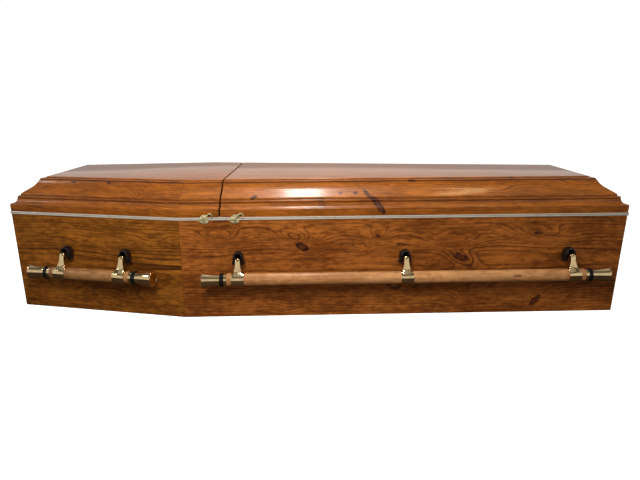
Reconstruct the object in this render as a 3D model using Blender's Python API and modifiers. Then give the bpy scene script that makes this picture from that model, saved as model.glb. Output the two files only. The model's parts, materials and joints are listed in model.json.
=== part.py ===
# Wooden coffin: a tapered case, a lid in two halves with a mitred moulding, and four swinging handles.
# Metres, +Z up. The head end is at -X and the foot end at +X. The origin is on the floor under the
# middle of the case. Right and left are those of a person lying in it, so the right side is at -Y.

import math

import bmesh
import bpy
from mathutils import Matrix, Vector

# Case
CASE_LENGTH = 2.0
HEAD_WIDTH = 0.47
SHOULDER_WIDTH = 0.65
FOOT_WIDTH = 0.46
HEAD_TO_SHOULDER = 0.585
CASE_HEIGHT = 0.325
WALL = 0.020
BASE_THICKNESS = 0.016
ARRIS = 0.001
GAP = 0.0003              # left between pieces that touch

# Edging strip: two half-round beads, one above the other, on a flat tongue
TRIM_BEAD_RADIUS = 0.0025
TRIM_SETBACK = 0.004      # from the wall's inner face to the edge of the tongue

# Lid moulding, from the outer face inwards and upwards
FASCIA_HEIGHT = 0.022
NOSING_RADIUS = 0.0025
LOWER_COVE_RADIUS = 0.016
BEAD_RADIUS = 0.004
BEAD_QUIRK = 0.0045       # from the lower cove to the middle of the bead
NOSE_SETBACK = 0.0045     # from the middle of the bead to the nose
NOSE_RISE = 0.004
NOSE_RADIUS = 0.004
SLOPE_ANGLE = 32.5
SLOPE_LENGTH = 0.029
UPPER_COVE_RADIUS = 0.057
UPPER_COVE_END_ANGLE = 64.0
LEDGE_WIDTH = 0.0025
LEDGE_RISE = 0.0045
TOP_BAND_WIDTH = 0.0146
REBATE_DEPTH = 0.0074
SHELF_WIDTH = 0.0125
RAIL_THICKNESS = 0.018    # under the slope
RAIL_FOOT = 0.026         # where the rail stands on the edging strip

# Lid panels and the split between the two halves
LID_PANEL_THICKNESS = 0.012
LID_PANEL_CLEARANCE = 0.0015
SPLIT_FROM_SHOULDER = 0.128
SPLIT_WIDTH = 0.0055

# Handles: where the arms stand along the side panels, where they swing, and where the bar hangs
HEAD_ARM_MARGIN = 0.201   # from the head end to the first arm
ARM_MARGIN = 0.183        # from the other panel ends to the arms nearest them
PIVOT_HEIGHT = 0.191
PIVOT_STANDOFF = 0.019
BAR_REACH = 0.036
BAR_DROP = 0.042
BAR_RADIUS = 0.0195
BARE_WOOD = 0.0145        # between the last collar and the ring of the tip

# Handle arms
ARM_WIDTH = 0.016
ARM_THICKNESS = 0.009
KNUCKLE_REACH = 0.0245    # the arm's upper bend, from the axis that it swings on
KNUCKLE_RISE = 0.0155
STOP_GAP = 0.0012         # between the arm's heel and the back plate at rest
COLLAR_WIDTH = 0.039
COLLAR_THICKNESS = 0.0027
SADDLE_THICKNESS = 0.0065 # of the arm's foot, which wraps over the front of the collar
SADDLE_PROUD = 0.002      # of the collar's surface
SADDLE_ANGLES = (68, 36, 12)        # around the bar, up from straight out
SADDLE_WIDTH = 0.99       # of the collar, at the saddle's lowest station
SADDLE_TAPER = 0.10       # lost at each station above
TRUNNION_RADIUS = 0.003
TRUNNION_LENGTH = 0.0045
RUNNING_CLEARANCE = 0.0004
SWING_CLEARANCE = 0.0015

# Handle ears
CHEEK_WIDTH = 0.0105      # of the hood on each side of the arm, where it is widest
HOOD_ARCH = 0.005         # over the arm's swing
EAR_BELOW_PIVOT = 0.009
EAR_PLATE = 0.004         # of the ear's solid back, behind the slot
HOOD_PROFILE = ((0.0, 0.74), (0.55, 1.0), (1.0, 0.84))    # from back to front: share of depth, share of size
HOOD_FRONT = 0.0125       # from the swing axis to the front of the hood
HOOD_POWERS = (2.0, 3.2)  # of the hood's rounded outline: round above, squarer below
HOOD_RIB = 0.06           # how deep the flutes are cut, as a share of the hood's radius
KNOB_RADIUS = 0.004
KNOB_PROUD = 0.002

# Bar tips, each with a band in a groove and a ring
TIP_LENGTH = 0.055
TIP_FLARE = 0.0078
TIP_EDGE = 0.0025
WAIST_SETBACK = 0.0003    # of the tip's waist from the bar's surface
GROOVE_DEPTH = 0.002
BAND_WIDTH = 0.0125
BAND_PROUD = 0.0020       # of the bar's surface
RING_WIDTH = 0.0095
RING_PROUD = 0.001
SOCKET_WALL = 0.0022
SPIGOT_LENGTH = 0.045

# Catches beside the split
CATCH_SPACING = 0.096
CATCH_SHIFT = 0.001       # of the pair from the split, towards the foot
CATCH_RADIUS = 0.0160
CATCH_THICKNESS = 0.0035
CATCH_LOBES = 6
CATCH_LOBE_DEPTH = 0.16
CATCH_FOOT_WIDTH = 0.010
CATCH_FOOT_HEIGHT = 0.007
CATCH_ARM_RADIUS = 0.0021

# Roundness
TURNED_STEPS = 10
COLLAR_STEPS = 10
PIN_STEPS = 8
SWING_STEPS = 12
HOOD_STEPS = 10

# Colours
FINISHES = {
    "side_wood": ((0.23, 0.09, 0.025), 0.30, 0.0),
    "lid_wood": ((0.34, 0.14, 0.04), 0.25, 0.0),
    "base_wood": ((0.36, 0.22, 0.11), 0.60, 0.0),
    "bar_wood": ((0.40, 0.20, 0.09), 0.35, 0.0),
    "edging": ((0.72, 0.70, 0.64), 0.35, 0.0),
    "brass": ((0.62, 0.45, 0.20), 0.22, 1.0),
    "pale_brass": ((0.66, 0.58, 0.36), 0.35, 1.0),
    "black_metal": ((0.012, 0.011, 0.012), 0.20, 0.6),
    "black_band": ((0.010, 0.010, 0.011), 0.25, 0.0),
}


def clear_scene():
    for old in list(bpy.data.objects):
        bpy.data.objects.remove(old, do_unlink=True)


def new_collection(name):
    collection = bpy.data.collections.new(name)
    bpy.context.scene.collection.children.link(collection)
    return collection


def new_material(name):
    colour, roughness, metallic = FINISHES[name]
    material = bpy.data.materials.new(name)
    material.use_nodes = True
    shader = material.node_tree.nodes["Principled BSDF"]
    shader.inputs["Base Color"].default_value = (*colour, 1.0)
    shader.inputs["Roughness"].default_value = roughness
    shader.inputs["Metallic"].default_value = metallic
    return material


clear_scene()
coffin = new_collection("wooden_coffin")
cutters = new_collection("cutters")
materials = {name: new_material(name) for name in FINISHES}


# Objects and meshes

def add_piece(name, data, finish, parent=None, matrix=None):
    """Put a named piece in the coffin's collection, in its own material."""
    piece = bpy.data.objects.new(name, data)
    if not data.materials:
        data.materials.append(materials[finish])
    coffin.objects.link(piece)
    piece.parent = parent
    piece.matrix_local = matrix or Matrix.Identity(4)
    return piece


def mesh_from(shape, name):
    mesh = bpy.data.meshes.new(name)
    shape.to_mesh(mesh)
    shape.free()
    return mesh


def helper(name, data):
    """An object that only cuts, joins or guides."""
    guide = bpy.data.objects.new(name, data)
    guide.hide_render = True
    guide.display_type = "WIRE"
    cutters.objects.link(guide)
    return guide


def finished_mesh(source, name, smooth_angle=None):
    """The evaluated mesh of a helper, which is then removed."""
    depsgraph = bpy.context.evaluated_depsgraph_get()
    mesh = bpy.data.meshes.new_from_object(source.evaluated_get(depsgraph))
    mesh.name = name
    weld = bmesh.new()
    weld.from_mesh(mesh)
    bmesh.ops.remove_doubles(weld, verts=weld.verts, dist=0.000005)
    weld.to_mesh(mesh)
    weld.free()
    bpy.data.objects.remove(source, do_unlink=True)
    if smooth_angle is not None:
        mesh.shade_smooth()
        mesh.set_sharp_from_angle(angle=math.radians(smooth_angle))
    return mesh


def combined_mesh(name, base, steps, smooth_angle=None):
    """Join or cut a mesh with others: steps are (operation, mesh) pairs, in order."""
    body = helper(name, base)
    tools = []
    for operation, mesh in steps:
        tool = helper(name + "_" + operation.lower(), mesh)
        modifier = body.modifiers.new(operation.lower(), "BOOLEAN")
        modifier.operation = operation
        modifier.solver = "EXACT"
        modifier.object = tool
        tools.append(tool)
    mesh = finished_mesh(body, name, smooth_angle)
    for tool in tools:
        bpy.data.objects.remove(tool, do_unlink=True)
    return mesh


def round_edges(piece, width):
    weld = piece.modifiers.new("weld", "WELD")
    weld.merge_threshold = 0.00001
    bevel = piece.modifiers.new("bevel", "BEVEL")
    bevel.width = width
    bevel.segments = 1
    bevel.limit_method = "ANGLE"


def flat_curve(name, outline, thickness):
    """A closed flat outline in its own XY plane, filled and given half its thickness each way."""
    curve = bpy.data.curves.new(name, "CURVE")
    curve.dimensions = "2D"
    curve.fill_mode = "BOTH"
    curve.extrude = thickness / 2
    spline = curve.splines.new("POLY")
    spline.points.add(len(outline) - 1)
    for point, place in zip(spline.points, outline):
        point.co = (place[0], place[1], 0.0, 1.0)
    spline.use_cyclic_u = True
    return curve


def board(name, outline, bottom, thickness, finish, arris=ARRIS):
    """A flat board seen from above, from its bottom upwards."""
    place = Matrix.Translation((0.0, 0.0, bottom + thickness / 2))
    piece = add_piece(name, flat_curve(name, outline, thickness), finish, matrix=place)
    round_edges(piece, arris)
    return piece


def loft(name, sections, closed=False):
    """A solid through sections that have the same number of points."""
    shape = bmesh.new()
    rings = [[shape.verts.new(point) for point in section] for section in sections]
    following_rings = rings[1:] + rings[:1] if closed else rings[1:]
    for ring, following in zip(rings, following_rings):
        for index, vertex in enumerate(ring):
            after = (index + 1) % len(ring)
            shape.faces.new((vertex, ring[after], following[after], following[index]))
    if not closed:
        shape.faces.new(rings[0])
        shape.faces.new(rings[-1])
    bmesh.ops.recalc_face_normals(shape, faces=shape.faces)
    return mesh_from(shape, name)


def cylinder_along_x(name, radius, length, steps, centre=(0.0, 0.0, 0.0)):
    shape = bmesh.new()
    turned_to_x = Matrix.Translation(centre) @ Matrix.Rotation(math.pi / 2, 4, "Y")
    bmesh.ops.create_cone(shape, cap_ends=True, segments=steps, radius1=radius, radius2=radius,
                          depth=length, matrix=turned_to_x)
    return mesh_from(shape, name)


def turned_mesh(name, profile, closed=False):
    """Turn a profile of (radius, height) points around Z: down the outer side, then up the bore."""
    mesh = bpy.data.meshes.new(name)
    edges = [(index, index + 1) for index in range(len(profile) - 1)]
    if closed:
        edges.append((len(profile) - 1, 0))
    mesh.from_pydata([(radius, 0.0, height) for radius, height in profile], edges, [])
    guide = helper(name, mesh)
    screw = guide.modifiers.new("screw", "SCREW")
    screw.steps = TURNED_STEPS
    screw.render_steps = TURNED_STEPS
    screw.use_merge_vertices = True
    screw.merge_threshold = 0.00001
    return finished_mesh(guide, name, smooth_angle=40)


# The plan: six corners, head right, shoulder right, foot right, and back along the left side

HEAD_X = -CASE_LENGTH / 2
FOOT_X = CASE_LENGTH / 2
SHOULDER_X = HEAD_X + HEAD_TO_SHOULDER
SPLIT_X = SHOULDER_X + SPLIT_FROM_SHOULDER
CORNERS = [Vector(corner) for corner in (
    (HEAD_X, -HEAD_WIDTH / 2), (SHOULDER_X, -SHOULDER_WIDTH / 2), (FOOT_X, -FOOT_WIDTH / 2),
    (FOOT_X, FOOT_WIDTH / 2), (SHOULDER_X, SHOULDER_WIDTH / 2), (HEAD_X, HEAD_WIDTH / 2))]
RIGHT_HEAD, RIGHT_FOOT, FOOT_END, LEFT_FOOT, LEFT_HEAD, HEAD_END = range(6)


def direction(side):
    """Along a side of the plan, from its first corner to the next one."""
    return (CORNERS[(side + 1) % 6] - CORNERS[side % 6]).normalized()


def inward(side):
    along = direction(side)
    return Vector((-along.y, along.x))


def corner_at(corner, inset):
    """A corner of the plan, moved inwards by the same distance from both its sides."""
    before, after = inward(corner - 1), inward(corner)
    return CORNERS[corner % 6] + (before + after) * inset / (1 + before.dot(after))


def side_at_x(side, inset, x):
    """Where a side, moved inwards, crosses a plane across the coffin."""
    start, along = corner_at(side, inset), direction(side)
    return start + along * (x - start.x) / along.x


def mitre_backoff(corner):
    """How far a mitred end stays back along its side, so that a gap is left in the mitre."""
    half_turn_cosine = math.sqrt((1 + direction(corner - 1).dot(direction(corner))) / 2)
    return GAP / 2 / half_turn_cosine


def mitred_section(profile, side, end, base):
    """Profile points (inset, height) on the mitre at the start (0) or the end (1) of a side."""
    corner = side + end
    backoff = direction(side) * mitre_backoff(corner) * (1 - 2 * end)
    places = [(corner_at(corner, inset) + backoff, height) for inset, height in profile]
    return [(place.x, place.y, base + height) for place, height in places]


def square_section(profile, side, x, base):
    """Profile points where a side is cut straight across the coffin."""
    places = [(side_at_x(side, inset, x), height) for inset, height in profile]
    return [(place.x, place.y, base + height) for place, height in places]


# Case

def build_case():
    names = {RIGHT_HEAD: "right_head_side", RIGHT_FOOT: "right_foot_side",
             LEFT_FOOT: "left_foot_side", LEFT_HEAD: "left_head_side"}
    for side, name in names.items():
        towards_end = direction(side)
        outline = []
        for end in (0, 1):
            corner = side + end
            inner = corner_at(corner, WALL)
            if corner % 6 in (RIGHT_FOOT, LEFT_HEAD):
                backoff = towards_end * mitre_backoff(corner) * (1 - 2 * end)
            else:
                backoff = Vector((0.0, 0.0))
                inner = side_at_x(side, WALL, CORNERS[corner % 6].x)
            pair = [CORNERS[corner % 6] + backoff, inner + backoff]
            outline += pair if end == 0 else reversed(pair)
        board(name, outline, 0.0, CASE_HEIGHT, "side_wood")

    # The end panels stand between the side panels
    for name, x, inner_x, sides in (("head_end", HEAD_X, HEAD_X + WALL, (RIGHT_HEAD, LEFT_HEAD)),
                                    ("foot_end", FOOT_X, FOOT_X - WALL, (RIGHT_FOOT, LEFT_FOOT))):
        right, left = sides
        outline = [side_at_x(right, WALL + GAP, x), side_at_x(right, WALL + GAP, inner_x),
                   side_at_x(left, WALL + GAP, inner_x), side_at_x(left, WALL + GAP, x)]
        board(name, outline, 0.0, CASE_HEIGHT, "side_wood")

    base_outline = [corner_at(corner, WALL + GAP) for corner in range(6)]
    board("base_board", base_outline, 0.0, BASE_THICKNESS, "base_wood")


def arc(centre, radius, start, end, steps):
    """Points on an arc, with angles in degrees from +X."""
    angles = [math.radians(start + (end - start) * step / steps) for step in range(steps + 1)]
    return [(centre[0] + radius * math.cos(angle), centre[1] + radius * math.sin(angle))
            for angle in angles]


TRIM_BOTTOM = CASE_HEIGHT + GAP
TRIM_HEIGHT = 4 * TRIM_BEAD_RADIUS
LID_BOTTOM = TRIM_BOTTOM + TRIM_HEIGHT + GAP


def build_edging():
    profile = [(WALL - TRIM_SETBACK, 0.0)]
    for bead in (0, 1):
        profile += arc((0.0, TRIM_BEAD_RADIUS * (1 + 2 * bead)), TRIM_BEAD_RADIUS, 270, 90, 5)[bead:]
    profile.append((WALL - TRIM_SETBACK, TRIM_HEIGHT))
    sections = []
    for corner in range(6):
        places = [(corner_at(corner, inset), height) for inset, height in profile]
        sections.append([(place.x, place.y, TRIM_BOTTOM + height) for place, height in places])
    add_piece("edging_strip", loft("edging_strip", sections, closed=True), "edging")


# Lid

def moulding_profile():
    """Outline of a lid rail as (inset, height), up the moulded face and down the inside."""
    nosing = arc((NOSING_RADIUS, FASCIA_HEIGHT), NOSING_RADIUS, 180, 90, 2)
    cove_inset = NOSING_RADIUS + LOWER_COVE_RADIUS
    cove_top = FASCIA_HEIGHT + cove_inset
    lower_cove = arc((NOSING_RADIUS, cove_top), LOWER_COVE_RADIUS, -90, 0, 4)[1:]
    bead_centre = (cove_inset + BEAD_QUIRK, cove_top + BEAD_RADIUS * math.sin(math.radians(65)))
    bead = arc(bead_centre, BEAD_RADIUS, 245, 110, 4)
    nose_inset, nose_bottom = bead_centre[0] + NOSE_SETBACK, bead[-1][1]
    nose = arc((nose_inset + NOSE_RADIUS, nose_bottom + NOSE_RISE), NOSE_RADIUS, 180, 90 + SLOPE_ANGLE, 2)
    slope, slope_start = math.radians(SLOPE_ANGLE), nose[-1]
    slope_end = (slope_start[0] + SLOPE_LENGTH * math.cos(slope),
                 slope_start[1] + SLOPE_LENGTH * math.sin(slope))
    upper_centre = (slope_end[0] - UPPER_COVE_RADIUS * math.sin(slope),
                    slope_end[1] + UPPER_COVE_RADIUS * math.cos(slope))
    upper_cove = arc(upper_centre, UPPER_COVE_RADIUS, SLOPE_ANGLE - 90, UPPER_COVE_END_ANGLE - 90, 4)
    ledge_inset, ledge = upper_cove[-1][0] + LEDGE_WIDTH, upper_cove[-1][1]
    rebate_inset, rebate_top = ledge_inset + TOP_BAND_WIDTH, ledge + LEDGE_RISE
    shelf, shelf_inset = rebate_top - REBATE_DEPTH, rebate_inset + SHELF_WIDTH

    def underside(inset):
        """Height of the inner face, which runs level with the slope at the rail's thickness."""
        return slope_start[1] - RAIL_THICKNESS / math.cos(slope) + (inset - slope_start[0]) * math.tan(slope)

    outline = [(0.0, 0.0), *nosing, *lower_cove, *bead, (nose_inset, nose_bottom), *nose, *upper_cove,
               (ledge_inset, ledge), (ledge_inset, rebate_top), (rebate_inset, rebate_top),
               (rebate_inset, shelf), (shelf_inset, shelf), (shelf_inset, underside(shelf_inset)),
               (RAIL_FOOT, underside(RAIL_FOOT)), (RAIL_FOOT, 0.0)]
    return outline, rebate_inset, shelf


def build_lid():
    profile, rebate_inset, shelf = moulding_profile()
    head_cut, foot_cut = SPLIT_X - SPLIT_WIDTH / 2, SPLIT_X + SPLIT_WIDTH / 2

    def mitred(side, end):
        return mitred_section(profile, side, end, LID_BOTTOM)

    def square(side, x):
        return square_section(profile, side, x, LID_BOTTOM)

    rails = {
        "head_lid_end_rail": (mitred(HEAD_END, 0), mitred(HEAD_END, 1)),
        "head_lid_right_rail": (mitred(RIGHT_HEAD, 0), mitred(RIGHT_HEAD, 1)),
        "head_lid_left_rail": (mitred(LEFT_HEAD, 0), mitred(LEFT_HEAD, 1)),
        "head_lid_right_shoulder_rail": (mitred(RIGHT_FOOT, 0), square(RIGHT_FOOT, head_cut)),
        "head_lid_left_shoulder_rail": (square(LEFT_FOOT, head_cut), mitred(LEFT_FOOT, 1)),
        "foot_lid_right_rail": (square(RIGHT_FOOT, foot_cut), mitred(RIGHT_FOOT, 1)),
        "foot_lid_left_rail": (mitred(LEFT_FOOT, 0), square(LEFT_FOOT, foot_cut)),
        "foot_lid_end_rail": (mitred(FOOT_END, 0), mitred(FOOT_END, 1)),
    }
    for name, sections in rails.items():
        add_piece(name, loft(name, sections), "lid_wood")

    inset, bottom = rebate_inset + LID_PANEL_CLEARANCE, LID_BOTTOM + shelf + GAP
    corners = [corner_at(corner, inset) for corner in range(6)]
    head_outline = [corners[0], corners[1], side_at_x(RIGHT_FOOT, inset, head_cut),
                    side_at_x(LEFT_FOOT, inset, head_cut), corners[4], corners[5]]
    foot_outline = [side_at_x(RIGHT_FOOT, inset, foot_cut), corners[2], corners[3],
                    side_at_x(LEFT_FOOT, inset, foot_cut)]
    board("head_lid_panel", head_outline, bottom, LID_PANEL_THICKNESS, "lid_wood")
    board("foot_lid_panel", foot_outline, bottom, LID_PANEL_THICKNESS, "lid_wood")


# Handles. In a handle's own frame X runs along the panel, +Y points away from it and +Z is up,
# and the origin is on the axis that the arms swing on.

ARM_SWING_RADIUS = math.hypot(KNUCKLE_REACH, KNUCKLE_RISE) + ARM_THICKNESS / 2 + SWING_CLEARANCE
EAR_WIDTH = ARM_WIDTH + 2 * CHEEK_WIDTH
EAR_HEIGHT = ARM_SWING_RADIUS + HOOD_ARCH + EAR_BELOW_PIVOT
COLLAR_RADIUS = BAR_RADIUS + GAP + COLLAR_THICKNESS
TIP_WAIST_RADIUS = BAR_RADIUS - WAIST_SETBACK
NECK_RADIUS = TIP_WAIST_RADIUS - GROOVE_DEPTH
SPIGOT_RADIUS = NECK_RADIUS - SOCKET_WALL
RING_INNER = TIP_LENGTH + BAND_WIDTH + RING_WIDTH     # the ring's inner face, from the end of the tip
BAR_OVERHANG = COLLAR_WIDTH / 2 + BARE_WOOD + RING_INNER


def superellipse(width, height, centre_height, steps, upper_power, lower_power, flute=0.0):
    """A rounded-off rectangle as (x, z): a higher power gives squarer corners, above or below.
    Every other point of its upper half may be drawn in."""
    outline = []
    for step in range(steps):
        angle = 2 * math.pi * (step + 0.5) / steps
        cosine, sine = math.cos(angle), math.sin(angle)
        power = upper_power if sine > 0 else lower_power
        radius = (abs(cosine) ** power + abs(sine) ** power) ** (-1 / power)
        if step % 2 and sine > 0.1:
            radius *= 1 - flute
        outline.append((width / 2 * radius * cosine, centre_height + height / 2 * radius * sine))
    return outline


def ear_mesh():
    """A fluted hood, with a slot for the arm and a knob at each end of the axis."""
    middle = EAR_HEIGHT / 2 - EAR_BELOW_PIVOT
    back = GAP - PIVOT_STANDOFF
    sections = []
    for depth, share in HOOD_PROFILE:
        outline = superellipse(EAR_WIDTH * share, EAR_HEIGHT * share, middle,
                               HOOD_STEPS, *HOOD_POWERS, HOOD_RIB)
        sections.append([(x, back + (HOOD_FRONT - back) * depth, z) for x, z in outline])
    hood = loft("ear", sections)
    knobs = cylinder_along_x("ear_knobs", KNOB_RADIUS, EAR_WIDTH + 2 * KNOB_PROUD, PIN_STEPS)
    bore_length = ARM_WIDTH + 2 * (TRUNNION_LENGTH + RUNNING_CLEARANCE)
    bore = cylinder_along_x("ear_bore", TRUNNION_RADIUS + RUNNING_CLEARANCE, bore_length, PIN_STEPS)
    return combined_mesh("ear", hood, [("UNION", knobs), ("DIFFERENCE", swing_slot()),
                                       ("DIFFERENCE", bore)], smooth_angle=35)


def swing_slot():
    """The room that the arm swings in: a drum around the axis, cut flat in front of the back plate."""
    shape = bmesh.new()
    width = ARM_WIDTH + 2 * RUNNING_CLEARANCE
    bmesh.ops.create_cone(shape, cap_ends=True, segments=SWING_STEPS, radius1=ARM_SWING_RADIUS,
                          radius2=ARM_SWING_RADIUS, depth=width, matrix=Matrix.Rotation(math.pi / 2, 4, "Y"))
    plate_front = Vector((0.0, -PIVOT_STANDOFF + EAR_PLATE, 0.0))
    cut = bmesh.ops.bisect_plane(shape, geom=shape.verts[:] + shape.edges[:] + shape.faces[:],
                                 plane_co=plate_front, plane_no=(0.0, 1.0, 0.0), clear_inner=True)
    rim = [edge for edge in cut["geom_cut"] if isinstance(edge, bmesh.types.BMEdge)]
    bmesh.ops.contextual_create(shape, geom=rim)
    bmesh.ops.recalc_face_normals(shape, faces=shape.faces)
    return mesh_from(shape, "swing_slot")


def arm_stations():
    """The arm's middle line from its heel over the bend to the collar: (y, z, width, thickness)."""
    reach, rise = KNUCKLE_REACH, KNUCKLE_RISE
    stations = [
        (STOP_GAP + EAR_PLATE - PIVOT_STANDOFF, -TRUNNION_RADIUS, ARM_WIDTH * 0.85, ARM_THICKNESS * 0.7),
        (0.0, 0.0, ARM_WIDTH, ARM_THICKNESS * 1.5),
        (reach * 0.68, rise * 1.02, ARM_WIDTH, ARM_THICKNESS * 1.05),
        (reach, rise, ARM_WIDTH * 0.95, ARM_THICKNESS),
        (reach * 1.27, -rise * 0.20, ARM_WIDTH * 1.14, ARM_THICKNESS * 1.03),
        (reach * 1.45, -rise * 1.14, ARM_WIDTH * 1.65, ARM_THICKNESS * 1.2),
    ]
    middle = COLLAR_RADIUS + SADDLE_PROUD - SADDLE_THICKNESS / 2
    for number, angle in enumerate(SADDLE_ANGLES):
        turn = math.radians(angle)
        share = SADDLE_WIDTH - SADDLE_TAPER * (len(SADDLE_ANGLES) - 1 - number)
        stations.append((BAR_REACH + middle * math.cos(turn), -BAR_DROP + middle * math.sin(turn),
                         COLLAR_WIDTH * share, SADDLE_THICKNESS))
    return stations


def arm_mesh():
    """A cast arm with trunnions that turn in the ear and a collar that holds the bar."""
    stations = arm_stations()
    sections = []
    for index, (y, z, width, thickness) in enumerate(stations):
        before = stations[max(index - 1, 0)]
        after = stations[min(index + 1, len(stations) - 1)]
        along = Vector((after[0] - before[0], after[1] - before[1])).normalized()
        across = Vector((-along.y, along.x))
        outline = superellipse(width, thickness, 0.0, 8, 2.8, 2.8)
        sections.append([(x, y + across.x * t, z + across.y * t) for x, t in outline])
    arm = loft("arm", sections)
    bar_place = (0.0, BAR_REACH, -BAR_DROP)
    bar_hole = BAR_RADIUS + GAP
    collar = cylinder_along_x("collar", COLLAR_RADIUS, COLLAR_WIDTH, COLLAR_STEPS, bar_place)
    trunnions = cylinder_along_x("trunnions", TRUNNION_RADIUS, ARM_WIDTH + 2 * TRUNNION_LENGTH, PIN_STEPS)
    hole = cylinder_along_x("bar_hole", bar_hole / math.cos(math.pi / COLLAR_STEPS), COLLAR_WIDTH * 2,
                            COLLAR_STEPS, bar_place)
    return combined_mesh("arm", arm, [("UNION", collar), ("UNION", trunnions), ("DIFFERENCE", hole)],
                         smooth_angle=35)


def tip_mesh():
    """A flared tip with a groove for the band, a ring and a socket for the bar's spigot."""
    flare = []
    for step in range(3):
        share = step / 2
        radius = TIP_WAIST_RADIUS + TIP_FLARE * (1 - share) ** 1.4
        flare.append((radius, -TIP_EDGE - (TIP_LENGTH - TIP_EDGE) * share))
    ring_outer = TIP_LENGTH + BAND_WIDTH
    ring_radius = BAR_RADIUS + RING_PROUD
    socket_radius, socket_end = SPIGOT_RADIUS + GAP, SPIGOT_LENGTH + GAP - RING_INNER
    profile = [(0.0, 0.0), (TIP_WAIST_RADIUS + TIP_FLARE - TIP_EDGE, 0.0), *flare,
               (NECK_RADIUS, -TIP_LENGTH), (NECK_RADIUS, -ring_outer), (ring_radius, -ring_outer),
               (ring_radius, -RING_INNER), (socket_radius, -RING_INNER), (socket_radius, socket_end),
               (0.0, socket_end)]
    return turned_mesh("tip", profile)


def band_mesh():
    top, bottom = -TIP_LENGTH - GAP, -TIP_LENGTH - BAND_WIDTH + GAP
    inner, outer = NECK_RADIUS + GAP, BAR_RADIUS + BAND_PROUD
    return turned_mesh("band", [(inner, top), (outer, top), (outer, bottom), (inner, bottom)], closed=True)


def bar_mesh(name, half_length):
    shoulder = half_length - RING_INNER - GAP
    spigot = shoulder + SPIGOT_LENGTH
    profile = [(0.0, spigot), (SPIGOT_RADIUS, spigot), (SPIGOT_RADIUS, shoulder), (BAR_RADIUS, shoulder),
               (BAR_RADIUS, -shoulder), (SPIGOT_RADIUS, -shoulder), (SPIGOT_RADIUS, -spigot), (0.0, -spigot)]
    return turned_mesh(name, profile)


def panel_frame(side, from_head, height):
    """A frame on a side panel's outer face, at a distance along it from its corner nearer the head."""
    along = direction(side)
    runs_to_foot = along.x > 0
    start = CORNERS[side] if runs_to_foot else CORNERS[side + 1]
    place = start + along * (from_head if runs_to_foot else -from_head)
    turn = math.atan2(along.y, along.x) + math.pi
    return Matrix.Translation((place.x, place.y, height)) @ Matrix.Rotation(turn, 4, "Z")


def build_handle(name, side, arm_places, meshes):
    """Ears on the panel, and everything that swings under an empty on the swing axis.
    Arm places run from the head towards the foot, measured along the panel."""
    middle = (arm_places[0] + arm_places[-1]) / 2
    frame = panel_frame(side, middle, PIVOT_HEIGHT) @ Matrix.Translation((0.0, PIVOT_STANDOFF, 0.0))
    headward = 1 if direction(side).x > 0 else -1
    pivot = bpy.data.objects.new(name + "_swing_axis", None)
    coffin.objects.link(pivot)
    pivot.matrix_world = frame
    for number, place in enumerate(arm_places, start=1):
        step = Matrix.Translation((headward * (middle - place), 0.0, 0.0))
        add_piece(f"{name}_ear_{number}", meshes["ear"], "black_metal", matrix=frame @ step)
        add_piece(f"{name}_arm_{number}", meshes["arm"], "brass", pivot, step)
    half_length = (arm_places[-1] - arm_places[0]) / 2 + BAR_OVERHANG
    bar_line = Matrix.Translation((0.0, BAR_REACH, -BAR_DROP))
    along_bar = Matrix.Rotation(math.pi / 2, 4, "Y")
    bar = bar_mesh(name + "_bar", half_length)
    add_piece(name + "_bar", bar, "bar_wood", pivot, bar_line @ along_bar)
    for number, way in ((1, headward), (2, -headward)):
        end = bar_line @ Matrix.Translation((way * half_length, 0.0, 0.0))
        end = end @ Matrix.Rotation(way * math.pi / 2, 4, "Y")
        add_piece(f"{name}_tip_{number}", meshes["tip"], "brass", pivot, end)
        add_piece(f"{name}_band_{number}", meshes["band"], "black_band", pivot, end)


def panel_length(side):
    return (CORNERS[side + 1] - CORNERS[side]).length


def build_handles():
    meshes = {"ear": ear_mesh(), "arm": arm_mesh(), "tip": tip_mesh(), "band": band_mesh()}
    for person_side, head_side, foot_side in (("right", RIGHT_HEAD, RIGHT_FOOT),
                                              ("left", LEFT_HEAD, LEFT_FOOT)):
        short, long = panel_length(head_side), panel_length(foot_side)
        short_places = [HEAD_ARM_MARGIN, short - ARM_MARGIN]
        long_places = [ARM_MARGIN, long / 2, long - ARM_MARGIN]
        build_handle(person_side + "_short_handle", head_side, short_places, meshes)
        build_handle(person_side + "_long_handle", foot_side, long_places, meshes)


# Catches. In a catch's own frame +Y points away from the panel and the origin is on the panel's
# outer face, level with the middle of the edging strip.

def tube_mesh(name, path, radius):
    """A thin cast scroll that tapers towards its end."""
    curve = bpy.data.curves.new(name, "CURVE")
    curve.dimensions = "3D"
    curve.bevel_depth = radius
    curve.bevel_resolution = 0
    curve.use_fill_caps = True
    spline = curve.splines.new("POLY")
    spline.points.add(len(path) - 1)
    for index, (point, place) in enumerate(zip(spline.points, path)):
        point.co = (*place, 1.0)
        point.radius = 1.15 - 0.4 * index / (len(path) - 1)
    return finished_mesh(helper(name, curve), name)


def scroll_path(start, centre, radius, front, first_angle, last_angle, steps):
    """From a start point into a curl in the XZ plane, at a fixed distance in front of the panel."""
    curl = arc(centre, radius, first_angle, last_angle, steps)
    return [(start[0], front, start[1])] + [(x, front, z) for x, z in curl]


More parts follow.
